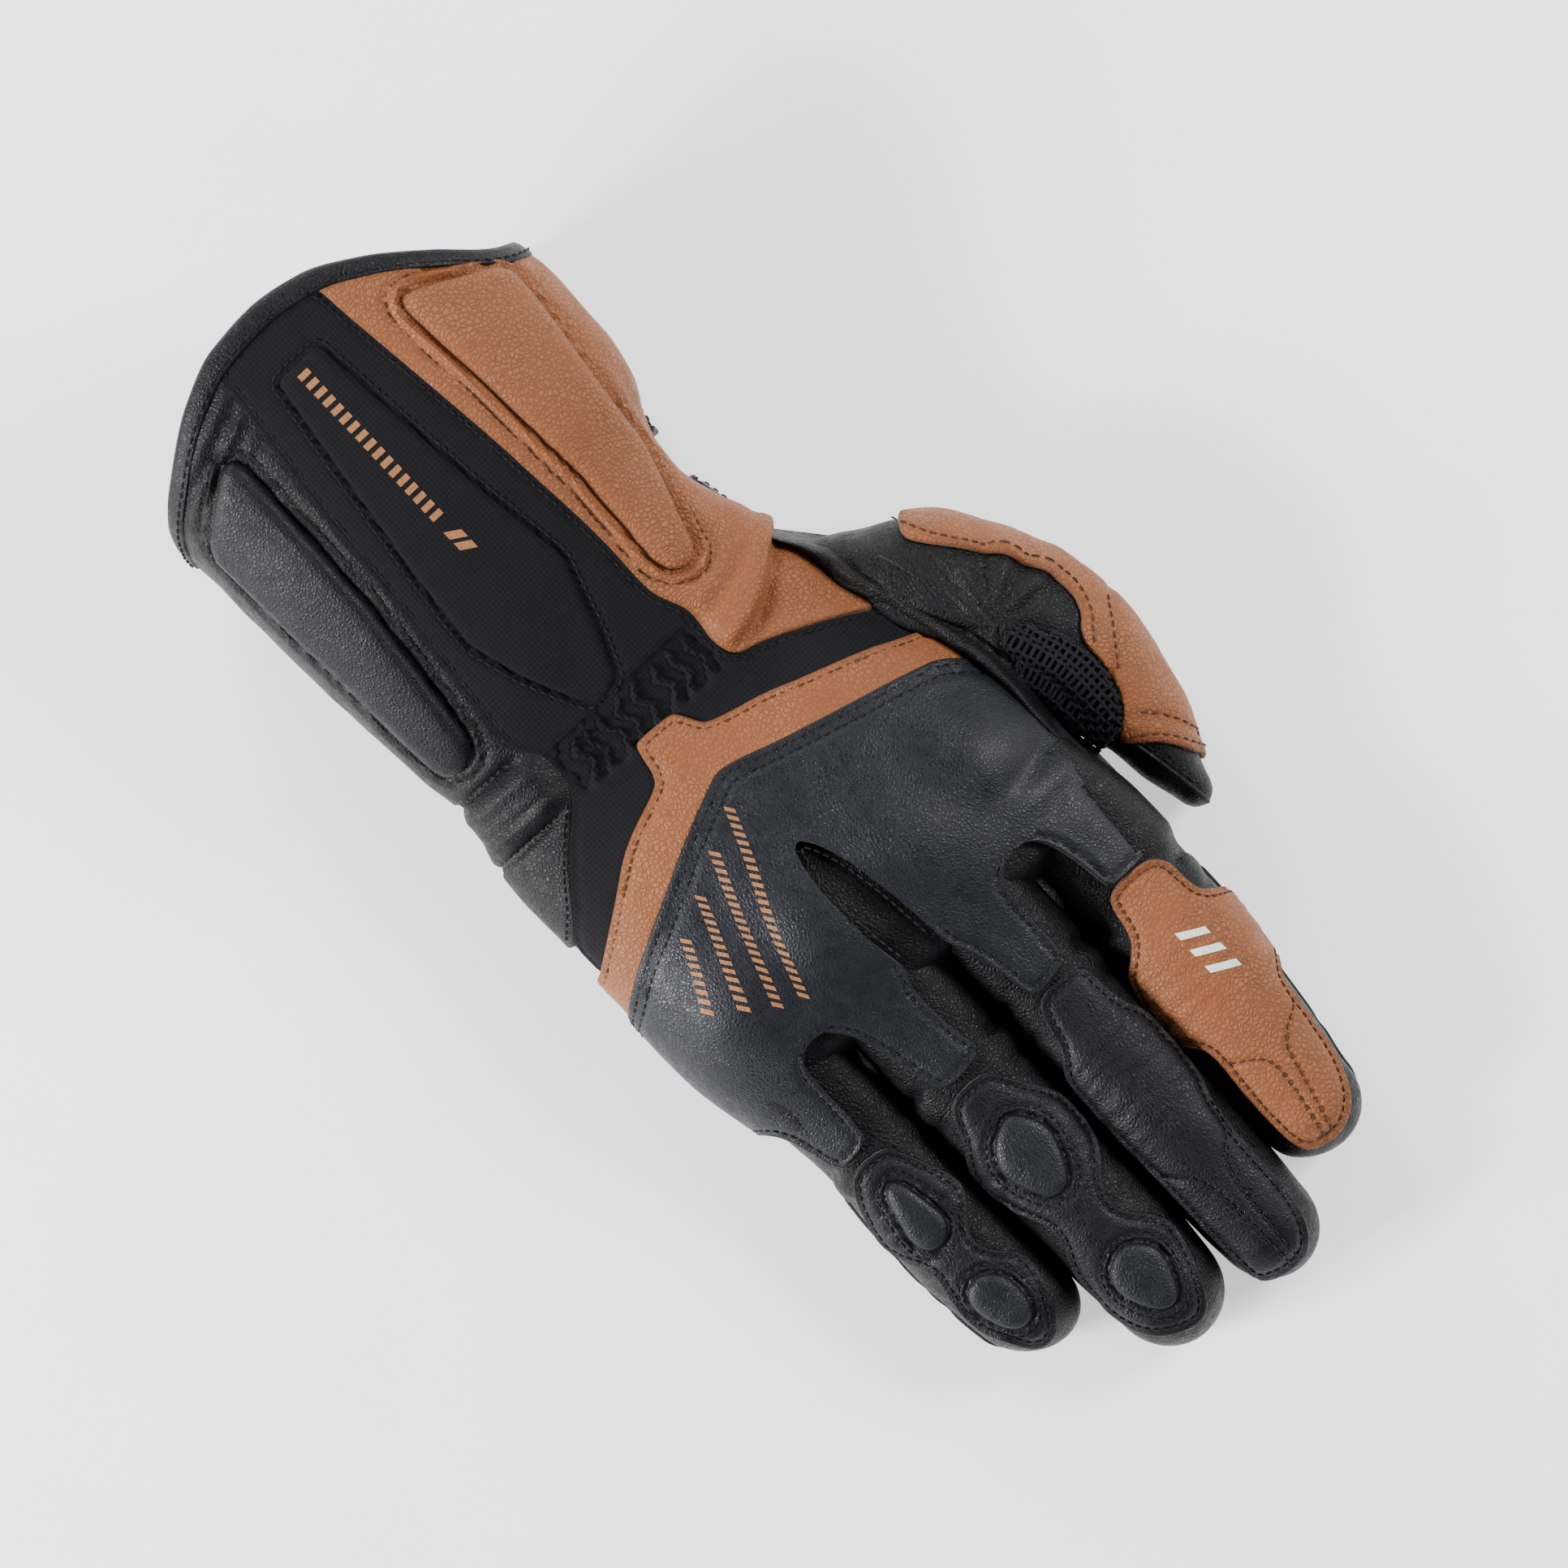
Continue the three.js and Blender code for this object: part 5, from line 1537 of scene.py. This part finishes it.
MESH = [(-10, 70), (-6, 74), (0, 78.4), (5, 80.6), (12, 81.6), (20, 80.4), (25, 77.8), (28.4, 73.4),
        (27.6, 67), (22, 64.6), (10, 65), (0, 66.4)]
mesh_line = anticlockwise(thumb.trace(MESH))
backing = Panel("thumb_mesh_backing", thumb, mesh_line, MESH_BACK, 0.3, 0.5)
follow(backing.obj, THUMB_JOINT)
net = yarns("thumb_mesh", thumb, mesh_line, 1.75, 0.33, 1.7, MESH_YARN)
follow(net, THUMB_JOINT, ("thumb_mesh_insert",))

tip_seam = open_line(thumb, [(27, 74), (33, 75), (40, 76.3), (47, 77.4), (53, 78)])
follow(sweep("thumb_tip_seam", thumb.at(tip_seam, 0.25), 0.7, BLACK), THUMB_JOINT)

# The leather fold between the thumb and the back of the hand: x, and the y of its two edges.
SIDE_FOLD = [(-63, 43.6, 45.4), (-57, 46.4, 50.4), (-52, 48.8, 54.6), (-46, 50.2, 59.4), (-40, 51.2, 63.4),
             (-33, 53.2, 66.4), (-26, 55.4, 68.8), (-20, 57, 70), (-14, 58.4, 70.2), (-8, 59.8, 69.8),
             (0, 60.7, 68.6), (10, 61.1, 67.2), (18, 62, 66.8), (24, 63.6, 67), (29, 65, 67.4),
             (34, 66.4, 67.6)]
fold_rings = []
for x, low, high in table(np.array(SIDE_FOLD)[:, [0, 0, 1, 2]], np.arange(-63, 34.1, 0.8)):
    side = min(low, table(THUMB_SIDE, x)[0, 0])
    inner = trunk.at(trunk.places([(x, side - 1.6)]))[0, 2] + 2.0
    outer = thumb.at(thumb.places([(x, high)]))[0, 2] - 0.6
    end = smooth((x + 63) / 8) * smooth((34 - x) / 9)
    ring = []
    for t in np.linspace(0, 2 * math.pi, 44, endpoint=False):
        y = (low + high) / 2 - (high - low) / 2 * math.cos(t)
        share = (y - low) / (high - low)
        level = inner + (outer - inner) * smooth(share)
        if t < math.pi:
            roll = 1.3 + 3.1 * hump(y - low - 2.0, 2.0) * end
            roll -= 1.3 * hump(y - low - 5.4, 1.5) * smooth((high - y - 1) / 3)
            wander = 0.35 * noise.noise(Vector((x / 16, y / 9, 3)))
            long = 0.5 * math.sin(2 * math.pi * ((y - low) / 4.6 + wander))
            long *= smooth((y - low - 4) / 3) * smooth((high - y) / 3)
            z = level + (roll + long) * math.sin(t) ** 0.7
        else:
            z = level - 3.5 * abs(math.sin(t)) ** 0.6
        ring.append((x, y, z + 0.3 * noise.noise(Vector((x / 7, y / 5, 1.5)))))
    fold_rings.append(ring)
follow(lofted("hand_side_fold", fold_rings, BLACK), WRIST)


# ---- Seams ----

# Lines in plan that the rows of stitches follow.
TAN_SEAM = [(-172, 8.2), (-160, 9.8), (-140, 12.2), (-120, 14.7), (-100, 16.2), (-85, 17.3), (-70, 16.9),
            (-66, 17.9), (-60, 20.8), (-56, 20.5), (-50, 19.7), (-44.3, 21.3), (-42.8, 28), (-39.8, 34.5),
            (-34.8, 45), (-29.8, 53), (-28, 56)]
OUTER_SEAM = [(-171, -20.6), (-165, -21), (-150, -22.8), (-130, -24.8), (-110, -26), (-90, -28),
              (-75, -29.6), (-66, -30)]
PLEAT_SEAM = [(-65, -30), (-61, -27.4), (-57, -25.2), (-50, -25.3), (-45.2, -27.8), (-40, -33.8),
              (-33, -39.8), (-27, -43.8), (-22, -49)]
SHIELD_DOUBLE = [(2, -53), (-1.6, -49), (-6, -44), (-10, -37), (-18, -22), (-24, -9), (-27.4, -1),
                 (-27.6, 2), (-26, 8), (-22, 20), (-18, 35), (-14, 48), (-12, 54), (-5, 59.6), (0, 60.6)]
CUTOUT_STITCHES = [(FRONT + 1, 31.6), (29.2, 34.4), (28.3, 37), (29.2, 40), (FRONT + 1, 43)]
CUTOUT_STITCHES_2 = [(FRONT + 1, -30.2), (29.2, -28), (28.4, -25), (29.2, -22), (FRONT + 1, -19.8)]

sew("textile_seam_stitches", WRIST, [
    (textile, beside(trunk, TAN_SEAM, -1.4)),
    (textile, beside(trunk, OUTER_SEAM, 1.4)),
    (outer_panel, beside(trunk, PLEAT_SEAM[4:], -1.3)),
    (textile, around(centre_pad_line, CENTRE_STITCHES), True),
    (outer_panel, around(outer_pad_line, OUTER_STITCHES), True, HEAVY)])
sew("tan_pad_stitches", WRIST, [(tan_panel, around(tan_pad_line, TAN_STITCHES), True)], BROWN_THREAD)
sew("binding_stitches", "cuff", [
    (Loose(trunk, 2.15), edge_places(3.5, np.linspace(-1, 1, 360)), False, HEAVY)])
sew("band_stitches", "hand", [(band, beside(trunk, BAND, 1.7, 1))], BROWN_THREAD)
sew("shield_stitches", "hand", [
    (shield, line) for line in (
        beside(trunk, SHIELD_DOUBLE, -1.7), beside(trunk, SHIELD_DOUBLE, -3.9), beside(trunk, SLIT, 1.5),
        open_line(trunk, CUTOUT_STITCHES), open_line(trunk, CUTOUT_STITCHES_2))])
for name, tab in tabs.items():
    line = parallel(tab.outline, 1.5)
    line = line[line[:, 0] > FRONT + 1.5]
    start = int(np.argmax(np.linalg.norm(line - np.roll(line, 1, axis=0), axis=1)))
    sew(f"{name}_tab_stitches", knuckle(name), [(tab, np.roll(line, -start, axis=0))])

THUMB_SEAMS = [
    [(-42, 68), (-37, 70.6), (-32, 73.4), (-26, 78.2), (-19.6, 83.6), (-10, 88), (-3, 89.2), (3.4, 87.4),
     (6.6, 84.6), (9, 83)],
    [(3, 92), (10, 88), (17, 83)],
    [(27, 80.4), (33.6, 85.2), (41, 86.4)],
    [(29.6, 75.6), (35, 81.8), (43, 84.6)]]
sew("thumb_overlay_stitches", THUMB_JOINT, [(thumb_overlay, open_line(thumb, plan)) for plan in THUMB_SEAMS],
    BROWN_THREAD)
sew("thumb_mesh_stitches", THUMB_JOINT, [
    (Loose(thumb, 1.9), parallel(mesh_line, 1.0), True),
    (Loose(thumb, 0.35), open_line(thumb, [(28, 75.4), (34, 76.4), (41, 77.7), (48, 78.8)]))])


# ---- Prints: generic bars ----

# How far a print stands over its panel and reaches into it, and the size of its faces.
PRINT_PROUD, PRINT_SUNK, PRINT_STEP = 0.10, 0.25, 0.9


def printed(name, panel, bars, material):
    """Thin films on a panel. bars: four corners each, in plan."""
    points, faces = [], []
    for corners in bars:
        a, b, c, d = (panel.skin.places([p])[0] for p in corners)
        n, m = (max(1, math.ceil(np.linalg.norm(side - a) / PRINT_STEP)) for side in (b, d))
        places = np.array([
            (1 - v) * ((1 - u) * a + u * b) + v * ((1 - u) * d + u * c)
            for u in np.linspace(0, 1, n + 1) for v in np.linspace(0, 1, m + 1)])
        start, count = len(points), len(places)
        lift = panel.height(places)
        points += [*panel.skin.at(places, lift + PRINT_PROUD), *panel.skin.at(places, lift - PRINT_SUNK)]
        rim = []
        for i in range(n):
            for j in range(m):
                p = start + i * (m + 1) + j
                quad = (p, p + m + 1, p + m + 2, p + 1)
                faces += [quad, tuple(k + count for k in quad[::-1])]
                rim += [edge for edge, border in (((p + m + 1, p), j == 0), ((p + 1, p + m + 2), j == m - 1),
                                                  ((p, p + 1), i == 0), ((p + m + 2, p + m + 1), i == n - 1))
                        if border]
        faces += [(x, y, y + count, x + count) for x, y in rim]
    return make_object(name, points, faces, material)


def hatching(start, end, width, bar, gap):
    """Slanted bars side by side along a straight line in plan."""
    start, end = np.array(start, float), np.array(end, float)
    along = unit(end - start)
    side = np.array([-along[1], along[0]])
    count = int(np.linalg.norm(end - start) / (bar + gap))
    bars = []
    for k in range(count):
        p = start + along * k * (bar + gap)
        slant = side * width + along * width * 0.7
        bars.append([p, p + along * bar, p + along * bar + slant, p + slant])
    return bars


shield_bars = []
for start, end in (((-21, -3.8), (22, -20.5)), ((-16, -12.7), (20, -26.7)),
                   ((-11, -21.6), (16, -32.1)), ((-6, -30.5), (11, -37.1))):
    shield_bars += hatching(start, end, 2.2, 1.05, 0.95)
follow(printed("shield_print", shield, shield_bars, TAN_PRINT), "hand")
cuff_bars = [[(x, -7.8), (x + 1.5, -7.8), (x + 1.5, -4.8), (x, -4.8)] for x in np.arange(-158.4, -113, 2.7)]
cuff_bars += [[(x, -7.8), (x + 2.2, -7.8), (x + 4.4, -4.4), (x + 2.2, -4.4)] for x in (-110.5, -107.2)]
follow(printed("cuff_print", centre_pad, cuff_bars, TAN_PRINT), WRIST)
index_bars = [[(x, 51.6), (x + 2.0, 51.6), (x + 5.4, 57.4), (x + 3.4, 57.4)] for x in (70, 75, 80)]
index_print = printed("index_print", overlays["index"], index_bars, PALE_PRINT)
follow(index_print, finger_joint("index"))


# ---- The underside ----

# What a sewn patch leaves free under it for its stitches.
STITCH_ROOM = 0.3


def flat_patch(name, node, material, body, corner, relief=None, sewn_in=2.2, up_to=None, rim=1.0):
    """A level patch that fills its node's box, sewn sewn_in mm inside its edge unless that is 0.

    up_to is a skin that the patch's back reaches up to."""
    low, high = (np.array(v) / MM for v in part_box(node))
    (x0, y0, z0), (x1, y1, z1) = low, high
    c = corner
    plan = [(x0 + c, y0), (x1 - c, y0), (x1, y0 + c), (x1, y1 - c),
            (x1 - c, y1), (x0 + c, y1), (x0, y1 - c), (x0, y0 + c)]
    room = STITCH_ROOM if sewn_in else 0.0
    back = (lambda places: z1 - up_to.underside(places) - 0.5) if up_to else None
    patch = Panel(f"{name}_patch", Flat(z1), resample(rounded(plan), 1.0, True), material, 0.0,
                  (z1 - z0) - room, min(rim, z1 - z0), relief=relief, under=back)
    follow(patch.obj, body, (node,))
    if sewn_in:
        sew(f"{name}_stitches", body, [(patch, parallel(patch.outline, sewn_in), True, LEVEL)])


def grip_ribs(places, from_edge, skin):
    """Diagonal grooves pressed into the palm's grip patch."""
    slant = (places[:, 0] + places[:, 1] * 0.7) / 4.5
    return -0.45 * smooth((np.cos(2 * math.pi * slant) - 0.55) / 0.3) * smooth((from_edge - 3) / 2)


def slider_ribs(places, from_edge, skin):
    """Straight grooves across the slider at the palm's heel."""
    return -0.5 * smooth((np.cos(2 * math.pi * places[:, 0] / 8) - 0.7) / 0.2) * smooth((from_edge - 3) / 2)


flat_patch("palm_grip", "palm_grip_patch", SMOOTH_BLACK, "hand", 7, grip_ribs, 1.8, trunk)
flat_patch("palm_heel", "palm_heel_slider", ARMOUR, "hand", 8, slider_ribs, 0, trunk, 2.4)
flat_patch("flap", "cuff_flap", SMOOTH_BLACK, "cuff_flap", 5)
flat_patch("flap_hook", "cuff_flap_hook", HOOKS, "cuff_flap", 2, None, 0)
flat_patch("flap_pull", "cuff_flap_pull", WEBBING, "cuff_flap", 2, None, 1.6)
flat_patch("cuff_loop", "cuff_loop_patch", HOOKS, "cuff", 2, None, 0, trunk)
flat_patch("strap", "wrist_strap", SMOOTH_BLACK, "wrist_strap", 4)
flat_patch("strap_hook", "wrist_strap_hook", HOOKS, "wrist_strap", 2, None, 0)
flat_patch("strap_loop", "wrist_loop_patch", HOOKS, "cuff", 2, None, 0, trunk)


class Strip:
    """A face swept in x from a line in the y-z plane. A place is (x, distance along the line).

    lean is how much nearer the cuff one side of it lies, the side of greater x where it is positive."""

    def __init__(self, line, middle, half, lean):
        self.line, self.middle, self.half, self.lean = line, middle, half, lean
        self.run = lengths(line)
        along = unit(np.gradient(line, axis=0))
        self.out = np.column_stack([-along[:, 1], along[:, 0]])

    def at(self, places, lift=0.0):
        places = np.atleast_2d(places)
        y, z = (np.interp(places[:, 1], self.run, values) for values in self.line.T)
        out_y, out_z = (np.interp(places[:, 1], self.run, values) for values in self.out.T)
        share = (places[:, 0] - self.middle) / self.half
        tuck = abs(self.lean) * smooth(0.5 + 0.5 * share * math.copysign(1, self.lean))
        tuck = tuck * (1 - smooth((places[:, 1] / self.run[-1] - 0.45) / 0.3))
        return np.column_stack([places[:, 0], y + out_y * lift - tuck, z + out_z * lift])


def strap_root(name, node, strap, joint_body, lean):
    """A strap's root: sewn to the side of the cuff, and turned under it to the strap's edge."""
    (x0, _, z0), (x1, y1, z1) = (np.array(v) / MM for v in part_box(node))
    strap_low, strap_high = (np.array(v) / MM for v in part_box(strap))
    edge_y, edge_z = strap_high[1] - 1.5, (strap_low[2] + strap_high[2]) / 2
    turn = [(y1 - 1.6, z1 + 1), (y1 - 0.6, z1 - 4), (y1 - 1.0, z0 + 5), (y1 - 3.2, z0),
            (y1 - 6.6, edge_z + 1.2), (edge_y + 1.5, edge_z + 0.1), (edge_y - 2, edge_z)]
    face = Strip(resample(rounded(turn, False, 3), 0.9), (x0 + x1) / 2, (x1 - x0) / 2, lean)
    end = face.run[-1]
    corners = [(x0, 3), (x0 + 3, 0), (x1 - 3, 0), (x1, 3), (x1, end), (x0, end)]
    outline = resample(rounded(corners), 1.0, True)
    inset = 1.7
    panel = Panel(name, face, outline, SMOOTH_BLACK, -0.75, 1.5, 0.7, 1.0, edge_share=0.4, sewn=(inset,),
                  relief=wrinkled(0.3, (9, 7, 7), 95, 2))
    x, y, z = (x0 + x1) / 2 * MM, edge_y * MM, edge_z * MM
    body = ("cuff", joint_body, (x, y + 0.005, z + 0.004), (x, y, z))
    follow(panel.obj, body, (node,))
    left, right = x0 + inset, x1 - inset
    rows = [[(left, end - 2), (left, inset), (right, inset), (right, end - 2)], [(x0 + 3, 6), (x1 - 3, 6)]]
    sew(f"{name}_stitches", body, [(panel, resample(row, 1.0)) for row in rows])


strap_root("cuff_flap_root", "cuff_flap_anchor", "cuff_flap", "cuff_flap", 6.0)
strap_root("wrist_strap_root", "wrist_strap_anchor", "wrist_strap", "wrist_strap", -2.5)


# ---- What stays of the CAD model, inside the glove ----

for node, material in (("hand_liner", LINING), ("knuckle_armour", ARMOUR)):
    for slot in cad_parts[node].material_slots:
        slot.material = material


# ---- Size ----

low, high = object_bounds()
